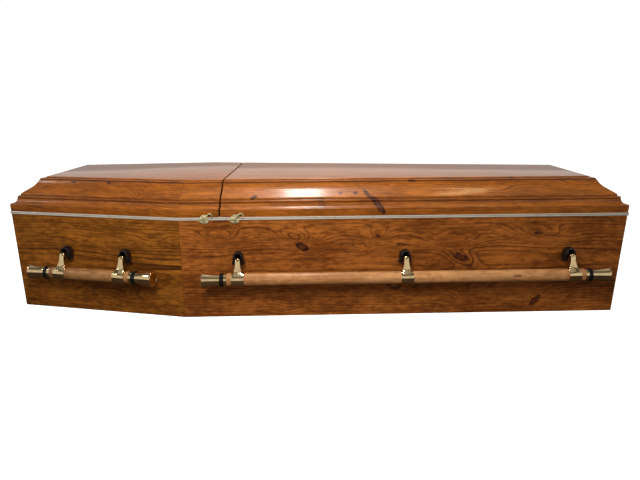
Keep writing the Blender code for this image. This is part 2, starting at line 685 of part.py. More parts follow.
def catch_mesh():
    """A lobed cast plate in front of the edging strip, with a curled lever, a scroll and a foot."""
    plate_back = TRIM_BEAD_RADIUS + GAP * 2
    plate_middle = plate_back + CATCH_THICKNESS / 2
    lobes = []
    lobe_points = CATCH_LOBES * 3
    for step in range(lobe_points):
        angle = 2 * math.pi * step / lobe_points
        radius = CATCH_RADIUS * (1 - CATCH_LOBE_DEPTH * (1 - math.cos(CATCH_LOBES * angle)) / 2)
        lobes.append((radius * math.cos(angle), radius * math.sin(angle)))
    plate = helper("catch_plate", flat_curve("catch_plate", lobes, CATCH_THICKNESS))
    plate.matrix_world = Matrix.Translation((0.0, plate_middle, 0.0)) @ Matrix.Rotation(math.pi / 2, 4, "X")
    bpy.context.view_layer.update()
    turned = plate.matrix_world.copy()
    plate_mesh = finished_mesh(plate, "catch_plate")
    plate_mesh.transform(turned)

    foot_depth = plate_middle - GAP
    foot = bmesh.new()
    foot_place = Vector((0.0, GAP + foot_depth / 2, -TRIM_HEIGHT / 2 - GAP * 2 - CATCH_FOOT_HEIGHT / 2))
    stretch = Matrix.Diagonal((CATCH_FOOT_WIDTH, foot_depth, CATCH_FOOT_HEIGHT, 1.0))
    bmesh.ops.create_cube(foot, size=1.0, matrix=Matrix.Translation(foot_place) @ stretch)

    size = CATCH_RADIUS
    lever_path = scroll_path((-0.2 * size, 0.1 * size), (-1.25 * size, 0.75 * size), 0.55 * size,
                             plate_middle + CATCH_ARM_RADIUS, 60, 235, 5)
    curl_path = scroll_path((0.3 * size, -0.2 * size), (1.2 * size, -0.25 * size), 0.45 * size,
                            plate_middle + CATCH_ARM_RADIUS / 2, 130, -110, 5)
    lever = tube_mesh("catch_lever", lever_path, CATCH_ARM_RADIUS)
    scroll = tube_mesh("catch_scroll", curl_path, CATCH_ARM_RADIUS)
    return combined_mesh("catch", plate_mesh, [("UNION", mesh_from(foot, "catch_foot")),
                                               ("UNION", lever), ("UNION", scroll)], smooth_angle=35)


def build_catches():
    mesh = catch_mesh()
    split_from_shoulder = SPLIT_FROM_SHOULDER / direction(RIGHT_FOOT).x + CATCH_SHIFT
    for name, offset in (("head_lid_catch", -CATCH_SPACING / 2), ("foot_lid_catch", CATCH_SPACING / 2)):
        place = panel_frame(RIGHT_FOOT, split_from_shoulder + offset, TRIM_BOTTOM + TRIM_HEIGHT / 2)
        add_piece(name, mesh, "pale_brass", matrix=place)


build_case()
build_edging()
build_lid()
build_handles()
build_catches()
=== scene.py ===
import json
import math

import bmesh
import bpy
from mathutils import Matrix, Vector


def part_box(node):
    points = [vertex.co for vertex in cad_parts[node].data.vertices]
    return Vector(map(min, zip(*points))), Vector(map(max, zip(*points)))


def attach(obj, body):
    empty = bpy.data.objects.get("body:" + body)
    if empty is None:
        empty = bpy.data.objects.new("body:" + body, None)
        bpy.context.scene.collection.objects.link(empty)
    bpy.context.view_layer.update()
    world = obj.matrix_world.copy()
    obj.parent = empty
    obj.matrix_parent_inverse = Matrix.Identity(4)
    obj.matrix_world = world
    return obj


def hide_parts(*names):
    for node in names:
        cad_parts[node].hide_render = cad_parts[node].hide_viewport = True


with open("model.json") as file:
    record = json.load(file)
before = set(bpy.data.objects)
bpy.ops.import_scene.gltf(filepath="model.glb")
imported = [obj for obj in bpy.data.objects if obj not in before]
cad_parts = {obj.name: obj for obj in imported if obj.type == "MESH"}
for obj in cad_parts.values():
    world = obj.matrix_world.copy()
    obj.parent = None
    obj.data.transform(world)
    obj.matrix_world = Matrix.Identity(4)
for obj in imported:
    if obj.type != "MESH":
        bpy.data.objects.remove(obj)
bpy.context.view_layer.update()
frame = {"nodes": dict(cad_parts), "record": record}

# The plan: six corners, from the right one at the head, round by the shoulder and the foot
plan = {
    "headX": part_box("head_end")[0].x,
    "footX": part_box("foot_end")[1].x,
    "headHalf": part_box("head_lid_end_rail")[1].y,
    "footHalf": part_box("foot_lid_end_rail")[1].y,
    "shoulderHalf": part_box("left_foot_side")[1].y,
    "headToShoulder": 0.585,
    "mitreGap": 0.0004,
}
shoulderX = plan["headX"] + plan["headToShoulder"]
corners = [Vector(corner) for corner in (
    (plan["headX"], -plan["headHalf"]), (shoulderX, -plan["shoulderHalf"]),
    (plan["footX"], -plan["footHalf"]), (plan["footX"], plan["footHalf"]),
    (shoulderX, plan["shoulderHalf"]), (plan["headX"], plan["headHalf"]))]
rightHead, rightFoot, footEnd, leftFoot, leftHead, headEnd = range(6)


def alongSide(side):
    return (corners[(side + 1) % 6] - corners[side % 6]).normalized()


def inwardOf(side):
    along = alongSide(side)
    return Vector((-along.y, along.x))


def sideLength(side):
    return (corners[(side + 1) % 6] - corners[side % 6]).length


def cornerAt(corner, inset):
    # a corner of the plan, moved inwards by the same distance from both its sides
    before, after = inwardOf(corner - 1), inwardOf(corner)
    return corners[corner % 6] + (before + after) * inset / (1 + before.dot(after))


def sideAtX(side, inset, x):
    start, along = cornerAt(side, inset), alongSide(side)
    return start + along * (x - start.x) / along.x


def sideTurn(side):
    along = alongSide(side)
    return math.atan2(along.y, along.x)


# Small tools for meshes

def arcPoints(centre, radius, startAngle, endAngle, steps):
    angles = [math.radians(startAngle + (endAngle - startAngle) * step / steps) for step in range(steps + 1)]
    return [(centre[0] + radius * math.cos(angle), centre[1] + radius * math.sin(angle)) for angle in angles]


def meshOf(shape, name, sharpAngle=30):
    bmesh.ops.recalc_face_normals(shape, faces=shape.faces)
    mesh = bpy.data.meshes.new(name)
    shape.to_mesh(mesh)
    shape.free()
    mesh.shade_smooth()
    mesh.set_sharp_from_angle(angle=math.radians(sharpAngle))
    return mesh


def vertsIn(geometry):
    return [item for item in geometry if isinstance(item, bmesh.types.BMVert)]


def edgesIn(geometry):
    return [item for item in geometry if isinstance(item, bmesh.types.BMEdge)]


def cutOff(shape, place, facing):
    # cut flat, throw away what lies beyond the plane and close the cut
    cut = bmesh.ops.bisect_plane(shape, geom=shape.verts[:] + shape.edges[:] + shape.faces[:], plane_co=place,
                                 plane_no=facing, clear_outer=True)
    bmesh.ops.edgeloop_fill(shape, edges=edgesIn(cut["geom_cut"]))


def loftedShape(rings, closedLoop=False):
    # closed rings of points, bridged one to the next, with both ends filled
    shape = bmesh.new()
    loops = []
    for ring in rings:
        points = [shape.verts.new(point) for point in ring]
        loops.append([shape.edges.new((points[index - 1], points[index])) for index in range(len(points))])
    for index in range(len(loops) - (0 if closedLoop else 1)):
        bmesh.ops.bridge_loops(shape, edges=loops[index] + loops[(index + 1) % len(loops)])
    if not closedLoop:
        bmesh.ops.edgeloop_fill(shape, edges=loops[0])
        bmesh.ops.edgeloop_fill(shape, edges=loops[-1])
    return shape


def turnedShape(profile, steps, closed=False):
    # spin a profile of (radius, height) points round Z
    shape = bmesh.new()
    points = [shape.verts.new((radius, 0.0, height)) for radius, height in profile]
    edges = [shape.edges.new(pair) for pair in zip(points, points[1:])]
    if closed:
        edges.append(shape.edges.new((points[-1], points[0])))
    bmesh.ops.spin(shape, geom=points + edges, cent=(0, 0, 0), axis=(0, 0, 1), angle=2 * math.pi,
                   steps=steps, use_merge=True)
    bmesh.ops.remove_doubles(shape, verts=shape.verts, dist=0.000005)
    return shape


def newObject(name, data):
    made = bpy.data.objects.new(name, data)
    bpy.context.scene.collection.objects.link(made)
    return made


def addCylinder(shape, radius, length, segments, place):
    return bmesh.ops.create_cone(shape, cap_ends=True, segments=segments, radius1=radius, radius2=radius,
                                 depth=length, matrix=place)


def cylinderMesh(name, radius, length, segments, place):
    shape = bmesh.new()
    addCylinder(shape, radius, length, segments, place)
    return meshOf(shape, name)


def rimPoints(outer, top, bottom, edge, steps):
    # the outer side of a turned ring, with both its edges rounded
    return [*arcPoints((outer - edge, top - edge), edge, 90, 0, steps)[1:],
            *arcPoints((outer - edge, bottom + edge), edge, 0, -90, steps)]


def useSecondLook(made):
    for face in {face for vert in made["verts"] for face in vert.link_faces}:
        face.material_index = 1


def carvedMesh(name, base, steps):
    # join or cut a mesh with others, one after another
    body = newObject(name, base)
    tools = []
    for operation, mesh in steps:
        tool = newObject(name + "Tool", mesh)
        modifier = body.modifiers.new(operation.lower(), "BOOLEAN")
        modifier.operation = operation
        modifier.object = tool
        tools.append(tool)
    depsgraph = bpy.context.evaluated_depsgraph_get()
    carved = bpy.data.meshes.new_from_object(body.evaluated_get(depsgraph))
    for scrap in [body, *tools]:
        bpy.data.objects.remove(scrap, do_unlink=True)
    shape = bmesh.new()
    shape.from_mesh(carved)
    bmesh.ops.remove_doubles(shape, verts=shape.verts, dist=0.00001)
    return meshOf(shape, name)


def addPiece(name, mesh, material, body, node, place=None):
    mesh.materials.clear()
    for layer in (material if isinstance(material, list) else [material]):
        mesh.materials.append(layer)
    if place:
        mesh.transform(place)
    piece = newObject(name, mesh)
    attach(piece, body)
    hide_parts(node)


# Small tools for materials

def setInputs(tree, node, inputs):
    for name, value in inputs.items():
        if isinstance(value, bpy.types.NodeSocket):
            tree.links.new(value, node.inputs[name])
        else:
            node.inputs[name].default_value = value


def addNode(tree, kind, inputs, **settings):
    node = tree.nodes.new(kind)
    for name, value in settings.items():
        setattr(node, name, value)
    setInputs(tree, node, inputs)
    return node


def calc(tree, operation, first, second=0.0, third=0.0, clamp=False):
    node = addNode(tree, "ShaderNodeMath", {0: first, 1: second, 2: third}, operation=operation,
                   use_clamp=clamp)
    return node.outputs[0]


def vectorCalc(tree, operation, first, second=(0, 0, 0), third=(0, 0, 0)):
    inputs = {0: first, 1: second, 2: third}
    return addNode(tree, "ShaderNodeVectorMath", inputs, operation=operation).outputs[0]


def scaled(tree, vector, scale):
    return vectorCalc(tree, "MULTIPLY", vector, scale)


def lengthOf(tree, vector):
    return addNode(tree, "ShaderNodeVectorMath", {0: vector}, operation="LENGTH").outputs["Value"]


def partsOf(tree, vector):
    return addNode(tree, "ShaderNodeSeparateXYZ", {0: vector}).outputs


def joined(tree, *parts):
    return addNode(tree, "ShaderNodeCombineXYZ", dict(enumerate(parts))).outputs[0]


def noiseAt(tree, vector, scale, detail=2.0, roughness=0.5):
    # noise on stretched coordinates: the scale says how many spots there are to a metre each way
    inputs = {"Vector": scaled(tree, vector, scale), "Scale": 1.0, "Detail": detail, "Roughness": roughness}
    return addNode(tree, "ShaderNodeTexNoise", inputs).outputs["Fac"]


def swayAt(tree, vector, scale, detail, roughness=0.5):
    # the same noise, to both sides of nothing
    return calc(tree, "SUBTRACT", noiseAt(tree, vector, scale, detail, roughness), 0.5)


def ramped(tree, value, low, high, lowTo=0.0, highTo=1.0):
    inputs = {"Value": value, "From Min": low, "From Max": high, "To Min": lowTo, "To Max": highTo}
    return addNode(tree, "ShaderNodeMapRange", inputs, interpolation_type="SMOOTHSTEP").outputs[0]


def mixed(tree, share, first, second, blend="MIX"):
    inputs = {0: share, 6: first, 7: second}
    return addNode(tree, "ShaderNodeMix", inputs, data_type="RGBA", blend_type=blend).outputs[2]


def newGroup(name, inputs, outputs):
    group = bpy.data.node_groups.new(name, "ShaderNodeTree")
    for socketName, value in inputs.items():
        kind = "NodeSocketFloat"
        if isinstance(value, tuple):
            kind = "NodeSocketColor" if len(value) == 4 else "NodeSocketVector"
        group.interface.new_socket(name=socketName, in_out="INPUT", socket_type=kind).default_value = value
    for socketName, kind in outputs.items():
        group.interface.new_socket(name=socketName, in_out="OUTPUT", socket_type="NodeSocket" + kind)
    return group, group.nodes.new("NodeGroupInput").outputs, group.nodes.new("NodeGroupOutput").inputs


def placeGroup(tree, group, inputs):
    return addNode(tree, "ShaderNodeGroup", inputs, node_tree=group).outputs


def newMaterial(name):
    material = bpy.data.materials.new(name)
    material.use_nodes = True
    tree = material.node_tree
    places = addNode(tree, "ShaderNodeTexCoord", {}).outputs["Object"]
    return material, tree, tree.nodes["Principled BSDF"], places


def bumpOf(tree, height, strength, distance):
    inputs = {"Strength": strength, "Distance": distance, "Height": height}
    return addNode(tree, "ShaderNodeBump", inputs).outputs[0]


# Pine: planks, rings around a far pith, knots that push the rings apart, and the stained colour

def planksGroup():
    # cuts a board into glued planks across its grain and shifts the figure of each
    group, given, result = newGroup(
        "planks", {"Vector": (0, 0, 0), "Width": 0.177, "Start": -0.029, "Seed": 0.0},
        {"Vector": "Vector", "Tone": "Float", "Seam": "Float"})
    split = partsOf(group, given["Vector"])
    across = calc(group, "DIVIDE", calc(group, "SUBTRACT", split["Z"], given["Start"]), given["Width"])
    index = calc(group, "FLOOR", across)
    seeded = calc(group, "ADD", index, given["Seed"])
    chance = addNode(group, "ShaderNodeTexWhiteNoise", {"W": seeded}, noise_dimensions="1D").outputs
    centre = calc(group, "MULTIPLY", calc(group, "ADD", index, 0.5), given["Width"])
    inPlank = calc(group, "SUBTRACT", split["Z"], calc(group, "ADD", centre, given["Start"]))
    local = joined(group, split["X"], split["Y"], inPlank)
    shift = vectorCalc(group, "SUBTRACT", chance["Color"], (0, 0, 0.5))
    shift = scaled(group, shift, (9.0, 0.0, 0.07))
    group.links.new(vectorCalc(group, "ADD", local, shift), result["Vector"])
    group.links.new(chance["Value"], result["Tone"])
    fromSeam = calc(group, "ABSOLUTE", calc(group, "SUBTRACT", calc(group, "FRACT", across), 0.5))
    fromSeam = calc(group, "MULTIPLY", calc(group, "SUBTRACT", 0.5, fromSeam), given["Width"])
    group.links.new(ramped(group, fromSeam, 0.0, 0.0014, 1.0, 0.0), result["Seam"])
    return group


def ringsGroup():
    # distance from the pith, which lies behind the board and wanders along it
    group, given, result = newGroup(
        "rings", {"Vector": (0, 0, 0), "Depth": 0.12, "Offset": 0.0, "Wander": 0.05, "Ripple": 0.006,
                  "Seed": 0.0}, {"Field": "Float"})
    split = partsOf(group, given["Vector"])
    seeded = vectorCalc(group, "ADD", given["Vector"], joined(group, given["Seed"], given["Seed"]))
    drift = swayAt(group, seeded, (0.8, 0.0, 0.0), 1.0)
    lean = swayAt(group, seeded, (1.7, 1.0, 1.0), 1.0)
    depth = calc(group, "ADD", calc(group, "ADD", split["Y"], given["Depth"]),
                 calc(group, "MULTIPLY", drift, given["Wander"]))
    height = calc(group, "ADD", calc(group, "SUBTRACT", split["Z"], given["Offset"]),
                  calc(group, "MULTIPLY", lean, given["Wander"]))
    radius = lengthOf(group, joined(group, depth, height))
    ripple = swayAt(group, seeded, (5.0, 22.0, 22.0), 3.0)
    field = calc(group, "ADD", radius, calc(group, "MULTIPLY", ripple, given["Ripple"]))
    group.links.new(field, result["Field"])
    return group


def knotGroup():
    # a knot: how far it pushes the rings, its swirl and its dark heart
    group, given, result = newGroup(
        "knot", {"Vector": (0, 0, 0), "Centre": (0, 0, 0), "Reach": (0.05, 1.0, 0.02), "Tilt": 0.0,
                 "Push": 0.02, "Heart": 0.3, "Dark": 1.0},
        {"Push": "Float", "Heart": "Float", "Rim": "Float", "Swirl": "Float"})
    away = vectorCalc(group, "SUBTRACT", given["Vector"], given["Centre"])
    away = addNode(group, "ShaderNodeVectorRotate", {"Vector": away, "Angle": given["Tilt"]},
                   rotation_type="Y_AXIS").outputs[0]
    away = vectorCalc(group, "MULTIPLY", vectorCalc(group, "DIVIDE", away, given["Reach"]), (1, 0, 1))
    smooth = lengthOf(group, away)
    fall = calc(group, "POWER", 2.718, calc(group, "MULTIPLY", calc(group, "MULTIPLY", smooth, smooth), -1.0))
    fine = {"Vector": scaled(group, given["Vector"], (75, 75, 75)), "Scale": 1.0, "Detail": 4.0,
            "Roughness": 0.65}
    wobble = addNode(group, "ShaderNodeTexNoise", fine).outputs["Color"]
    wobble = scaled(group, vectorCalc(group, "SUBTRACT", wobble, (0.5, 0.5, 0.5)), (1.6, 0.0, 1.6))
    ragged = vectorCalc(group, "MULTIPLY_ADD", wobble, given["Heart"], away)
    reach = lengthOf(group, ragged)
    group.links.new(calc(group, "MULTIPLY", fall, given["Push"]), result["Push"])
    edge = calc(group, "DIVIDE", reach, given["Heart"])
    inside = calc(group, "MULTIPLY", ramped(group, edge, 0.75, 1.15, 1.0, 0.0), given["Dark"])
    group.links.new(inside, result["Heart"])
    group.links.new(calc(group, "MULTIPLY", inside, ramped(group, edge, 0.35, 0.85)), result["Rim"])
    group.links.new(ramped(group, smooth, 0.2, 1.3, 1.0, 0.0), result["Swirl"])
    return group


def stainGroup():
    # pine under a brown stain: growth lines, blotches, fibres, short dark pores, knots and seams
    group, given, result = newGroup(
        "stain", {"Vector": (0, 0, 0), "Field": 0.0, "Heart": 0.0, "Rim": 0.0, "Swirl": 0.0, "Tone": 0.5,
                  "Seam": 0.0, "Spacing": 0.009, "Lines": 0.5, "Blotches": 0.5, "Streaks": 1.0, "Fibres": 1.0,
                  "Seed": 0.0,
                  "Pale": (0.3, 0.1, 0.03, 1), "Deep": (0.15, 0.04, 0.01, 1), "Line": (0.08, 0.02, 0.006, 1),
                  "Knot": (0.08, 0.024, 0.01, 1), "Bark": (0.014, 0.005, 0.004, 1)},
        {"Color": "Color", "Roughness": "Float", "Height": "Float"})
    seeded = vectorCalc(group, "ADD", given["Vector"], joined(group, given["Seed"], 0.0, given["Seed"]))
    ringCount = calc(group, "DIVIDE", given["Field"], given["Spacing"])
    ringShare = calc(group, "FRACT", ringCount)
    ringChance = addNode(group, "ShaderNodeTexWhiteNoise", {"W": calc(group, "FLOOR", ringCount)},
                         noise_dimensions="1D").outputs["Value"]
    rise = calc(group, "POWER", ringShare, 4.5)
    drop = ramped(group, ringShare, 0.92, 1.0, 1.0, 0.0)
    latewood = calc(group, "MULTIPLY", calc(group, "MULTIPLY", rise, drop),
                    ramped(group, ringChance, 0, 1, 0.45, 1.5))
    patches = ramped(group, noiseAt(group, seeded, (3.0, 6.0, 7.0), 2.0), 0.3, 0.7, 0.5, 1.0)
    lines = calc(group, "MULTIPLY", calc(group, "MULTIPLY", latewood, patches), given["Lines"], clamp=True)
    blotch = noiseAt(group, seeded, (4.5, 9.0, 13.0), 4.0, 0.55)
    fleck = noiseAt(group, seeded, (38.0, 60.0, 85.0), 3.0, 0.6)
    mottle = calc(group, "MULTIPLY_ADD", calc(group, "SUBTRACT", fleck, 0.5), 0.9, blotch)
    depth = ramped(group, mottle, 0.32, 0.68)
    depth = calc(group, "MULTIPLY", calc(group, "SUBTRACT", depth, 0.5), given["Blotches"])
    depth = calc(group, "ADD", depth, given["Tone"], clamp=True)
    colour = mixed(group, depth, given["Pale"], given["Deep"])
    swirl = calc(group, "MULTIPLY", given["Swirl"], calc(group, "SUBTRACT", 1.0, ringShare))
    colour = mixed(group, calc(group, "MULTIPLY", swirl, 0.35, clamp=True), colour, given["Pale"])
    colour = mixed(group, lines, colour, given["Line"])
    fibre = noiseAt(group, seeded, (14.0, 420.0, 420.0), 3.0, 0.65)
    streak = noiseAt(group, seeded, (9.0, 75.0, 75.0), 5.0, 0.75)
    shade = calc(group, "MULTIPLY_ADD", calc(group, "SUBTRACT", fibre, 0.5), given["Fibres"], 1.0)
    shade = calc(group, "MULTIPLY_ADD", calc(group, "SUBTRACT", streak, 0.5), given["Streaks"], shade)
    colour = scaled(group, colour, joined(group, shade, shade, shade))
    pores = ramped(group, noiseAt(group, seeded, (45.0, 700.0, 700.0), 1.0), 0.68, 0.78)
    colour = mixed(group, calc(group, "MULTIPLY", pores, 0.45), colour, given["Line"])
    colour = mixed(group, calc(group, "MULTIPLY", given["Seam"], 0.75), colour, given["Line"])
    grit = swayAt(group, seeded, (90.0, 90.0, 170.0), 3.0, 0.6)
    bark = calc(group, "MULTIPLY_ADD", grit, 3.2, given["Rim"], clamp=True)
    colour = mixed(group, given["Heart"], colour, mixed(group, bark, given["Knot"], given["Bark"]))
    group.links.new(colour, result["Color"])
    rough = calc(group, "MULTIPLY_ADD", lines, 0.12, 0.36)
    group.links.new(calc(group, "MULTIPLY_ADD", blotch, 0.1, rough), result["Roughness"])
    relief = calc(group, "MULTIPLY", fibre, 0.35)
    for mark, sunk in ((lines, 0.6), (given["Seam"], 1.5), (given["Heart"], 0.8)):
        relief = calc(group, "SUBTRACT", relief, calc(group, "MULTIPLY", mark, sunk))
    group.links.new(relief, result["Height"])
    return group


planks, rings, knot, stain = planksGroup(), ringsGroup(), knotGroup(), stainGroup()

# Stained colours of the pine (linear)
pine = {
    "caseHead": {"Pale": (0.300, 0.102, 0.012), "Deep": (0.118, 0.036, 0.004),
                 "Line": (0.045, 0.013, 0.003), "Knot": (0.130, 0.044, 0.009), "Bark": (0.045, 0.016, 0.005)},
    "caseFoot": {"Pale": (0.350, 0.110, 0.019), "Deep": (0.145, 0.038, 0.006),
                 "Line": (0.045, 0.011, 0.003), "Knot": (0.095, 0.026, 0.009), "Bark": (0.010, 0.004, 0.003)},
    "lid": {"Pale": (0.330, 0.099, 0.009), "Deep": (0.180, 0.048, 0.004),
            "Line": (0.070, 0.016, 0.003), "Knot": (0.085, 0.024, 0.010), "Bark": (0.014, 0.004, 0.003)},
    "bar": {"Pale": (0.500, 0.245, 0.095), "Deep": (0.330, 0.140, 0.046),
            "Line": (0.140, 0.050, 0.018), "Knot": (0.110, 0.035, 0.018), "Bark": (0.040, 0.012, 0.007)},
    "shortBar": {"Pale": (0.340, 0.165, 0.058), "Deep": (0.210, 0.090, 0.028),
                 "Line": (0.085, 0.030, 0.010), "Knot": (0.090, 0.030, 0.015), "Bark": (0.040, 0.012, 0.007)},
    "plain": {"Pale": (0.520, 0.340, 0.170), "Deep": (0.400, 0.240, 0.110),
              "Line": (0.260, 0.130, 0.050), "Knot": (0.130, 0.065, 0.030), "Bark": (0.080, 0.040, 0.020)},
}


def knotAt(along, height, width, rise, tilt, push, heart, dark):
    return {"Centre": (along, 0.0, height), "Reach": (width, 1.0, rise), "Tilt": math.radians(tilt),
            "Push": push, "Heart": heart, "Dark": dark}


def pineFinish(name, colours, place, turn, seed, knots=(), tone=0.5, lowerTone=0.0, plankWidth=0.177,
               plankStart=-0.029, depth=0.05, offset=-0.08, wander=0.05, ripple=0.003, spacing=0.009,
               lines=1.2, blotches=0.8, streaks=2.6, fibres=0.9, specular=0.16, coat=0.15,
               coatRoughness=0.25, bump=0.06, tilt=(0.0, 0.0), paintedCreaseShade=()):
    # the grain runs along X of a frame at place, turned about Z and tilted about X and Y
    palette = {part: (*colour, 1.0) for part, colour in pine[colours].items()}
    material, tree, shader, places = newMaterial(name)
    level, grain = (addNode(tree, "ShaderNodeMapping",
                            {"Vector": places, "Location": place, "Rotation": rotation},
                            vector_type="TEXTURE").outputs[0] for rotation in ((0, 0, turn), (*tilt, turn)))
    board = placeGroup(tree, planks, {"Vector": grain, "Width": plankWidth, "Start": plankStart,
                                      "Seed": seed})
    field = placeGroup(tree, rings, {"Vector": board["Vector"], "Depth": depth, "Offset": offset,
                                     "Wander": wander, "Ripple": ripple, "Seed": seed})["Field"]
    heart, rim, swirl = 0.0, 0.0, 0.0
    for mark in knots:
        one = placeGroup(tree, knot, {"Vector": level, **knotAt(*mark)})
        field = calc(tree, "ADD", field, one["Push"])
        heart = calc(tree, "MAXIMUM", heart, one["Heart"])
        rim = calc(tree, "MAXIMUM", rim, one["Rim"])
        swirl = calc(tree, "MAXIMUM", swirl, one["Swirl"])
    # the lowest board of a panel may be darker, and each board differs a little
    height = partsOf(tree, level)["Z"]
    lowest = calc(tree, "LESS_THAN", height, plankStart + plankWidth)
    toneSocket = calc(tree, "MULTIPLY_ADD", board["Tone"], 0.16, tone - 0.08)
    toneSocket = calc(tree, "MULTIPLY_ADD", lowest, lowerTone, toneSocket)
    wood = placeGroup(tree, stain, {
        "Vector": board["Vector"], "Field": field, "Heart": heart, "Rim": rim, "Swirl": swirl,
        "Tone": toneSocket, "Seam": board["Seam"], "Spacing": spacing, "Lines": lines, "Blotches": blotches,
        "Streaks": streaks, "Fibres": fibres, "Seed": seed, **palette})
    # painted shade: the colour is darkened in bands at given heights where a moulding turns inwards, where
    # shade falls
    colour = wood["Color"]
    for crease, reach, share in paintedCreaseShade:
        away = calc(tree, "ABSOLUTE", calc(tree, "SUBTRACT", height, crease))
        colour = mixed(tree, ramped(tree, away, 0.0, reach, share, 0.0), colour, palette["Line"])
    setInputs(tree, shader, {"Base Color": colour, "Roughness": wood["Roughness"],
                             "Specular IOR Level": specular, "Coat Weight": coat,
                             "Coat Roughness": coatRoughness,
                             "Normal": bumpOf(tree, wood["Height"], bump, 0.001)})
    return material


# Case panels: the solids stay, each with its own board
# Each knot: along and up, width and rise, tilt in degrees, push on the rings, heart and its darkness
headGrain = {"colours": "caseHead", "spacing": 0.0088, "lines": 1.4}
footGrain = {"colours": "caseFoot"}
caseBoards = {
    "right_head_side": {"side": rightHead, **headGrain, "seed": 3.0, "knots": [
        (0.166, 0.077, 0.09, 0.026, 0, 0.034, 0.12, 0.4), (0.332, 0.241, 0.13, 0.014, 0, 0.024, 0.01, 0.0),
        (0.5, 0.262, 0.05, 0.016, 0, 0.018, 0.02, 0.0), (0.5, 0.066, 0.15, 0.04, 12, 0.06, 0.02, 0.0)]},
    "right_foot_side": {"side": rightFoot, **footGrain, "seed": 8.0, "lowerTone": 0.06, "knots": [
        (0.385, 0.236, 0.055, 0.026, -30, 0.03, 0.46, 1.0),
        (0.368, 0.268, 0.08, 0.028, -10, 0.044, 0.05, 0.0),
        (0.127, 0.27, 0.075, 0.027, 0, 0.042, 0.16, 0.45), (0.625, 0.269, 0.042, 0.028, 0, 0.04, 0.2, 0.95),
        (0.635, 0.232, 0.13, 0.012, 0, 0.018, 0.02, 0.0), (0.896, 0.195, 0.055, 0.026, -20, 0.03, 0.5, 1.0),
        (0.862, 0.252, 0.1, 0.02, 0, 0.034, 0.02, 0.0), (1.14, 0.272, 0.1, 0.026, -6, 0.044, 0.17, 1.0),
        (1.157, 0.041, 0.055, 0.03, 50, 0.026, 0.42, 0.95), (1.06, 0.083, 0.12, 0.016, 0, 0.022, 0.02, 0.0),
        (0.93, 0.072, 0.08, 0.02, 30, 0.024, 0.06, 0.3), (0.688, 0.092, 0.06, 0.02, 0, 0.026, 0.28, 0.9),
        (0.36, 0.105, 0.11, 0.022, 0, 0.03, 0.02, 0.0), (0.345, 0.04, 0.04, 0.055, 0, 0.014, 0.36, 0.35)]},
    "left_foot_side": {"side": leftFoot, **footGrain, "seed": 21.0, "knots": [
        (0.3, 0.24, 0.06, 0.026, 20, 0.032, 0.4, 1.0), (0.76, 0.262, 0.08, 0.02, 0, 0.03, 0.28, 1.0),
        (0.62, 0.08, 0.12, 0.022, 0, 0.03, 0.04, 0.0), (1.15, 0.09, 0.055, 0.024, -25, 0.03, 0.4, 1.0)]},
    "left_head_side": {"side": leftHead, **headGrain, "seed": 33.0, "knots": [
        (0.24, 0.24, 0.09, 0.02, 10, 0.03, 0.26, 0.8)]},
    "head_end": {"side": headEnd, **headGrain, "seed": 45.0, "tone": 0.45, "knots": [
        (0.33, 0.24, 0.08, 0.02, 0, 0.03, 0.3, 0.9)]},
    "foot_end": {"side": footEnd, **footGrain, "seed": 57.0, "tone": 0.45, "knots": [
        (0.12, 0.236, 0.07, 0.02, 0, 0.03, 0.36, 1.0)]},
}
caseTones = {"tone": 0.42, "lowerTone": 0.10}


def finishCase():
    for node, look in caseBoards.items():
        settings = {**caseTones, **look}
        side = settings.pop("side")
        start = corners[side]
        material = pineFinish(node, place=(start.x, start.y, 0.0), turn=sideTurn(side), **settings)
        frame["nodes"][node].material_slots[0].material = material
    base = pineFinish("base_board", "plain", (0, 0, 0), 0.0, 71.0, specular=0.3, coat=0.0,
                      tilt=(math.pi / 2, 0.0), plankWidth=0.12, plankStart=-0.36)
    frame["nodes"]["base_board"].material_slots[0].material = base
    print("case boards finished")


finishCase()

# Edging strip: two half-round beads between the case and the lid
edging = {
    "beadRadius": 0.0025,
    "setback": 0.0001,
    "tongue": 0.016,
    "steps": 9,
}


def buildEdging():
    radius = edging["beadRadius"]
    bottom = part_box("edging_strip")[0].z
    outline = [(edging["tongue"], 0.0)]
    for bead in (0, 1):
        centre = (edging["setback"], radius * (1 + 2 * bead))
        outline += arcPoints(centre, radius, 270, 90, edging["steps"])[bead:]
    outline.append((edging["tongue"], 4 * radius))
    loops = []
    for corner in range(6):
        places = [(cornerAt(corner, inset), height) for inset, height in outline]
        loops.append([(place.x, place.y, bottom + height) for place, height in places])
    mesh = meshOf(loftedShape(loops, closedLoop=True), "edging_strip")
    addPiece("edging", mesh, edgingFinish(), "case", "edging_strip")
    print("edging built")


def edgingFinish():
    material, tree, shader, places = newMaterial("edging")
    drawn = noiseAt(tree, places, (3.0, 3.0, 700.0), 2.0)
    dust = ramped(tree, noiseAt(tree, places, (35.0, 35.0, 35.0), 4.0, 0.6), 0.45, 0.75)
    colour = mixed(tree, drawn, (0.60, 0.55, 0.47, 1), (0.50, 0.46, 0.40, 1))
    colour = mixed(tree, calc(tree, "MULTIPLY", dust, 0.35), colour, (0.36, 0.28, 0.20, 1))
    setInputs(tree, shader, {"Base Color": colour, "Roughness": calc(tree, "MULTIPLY_ADD", dust, 0.2, 0.28),
                             "Metallic": 0.25, "Coat Weight": 0.3})
    return material


buildEdging()

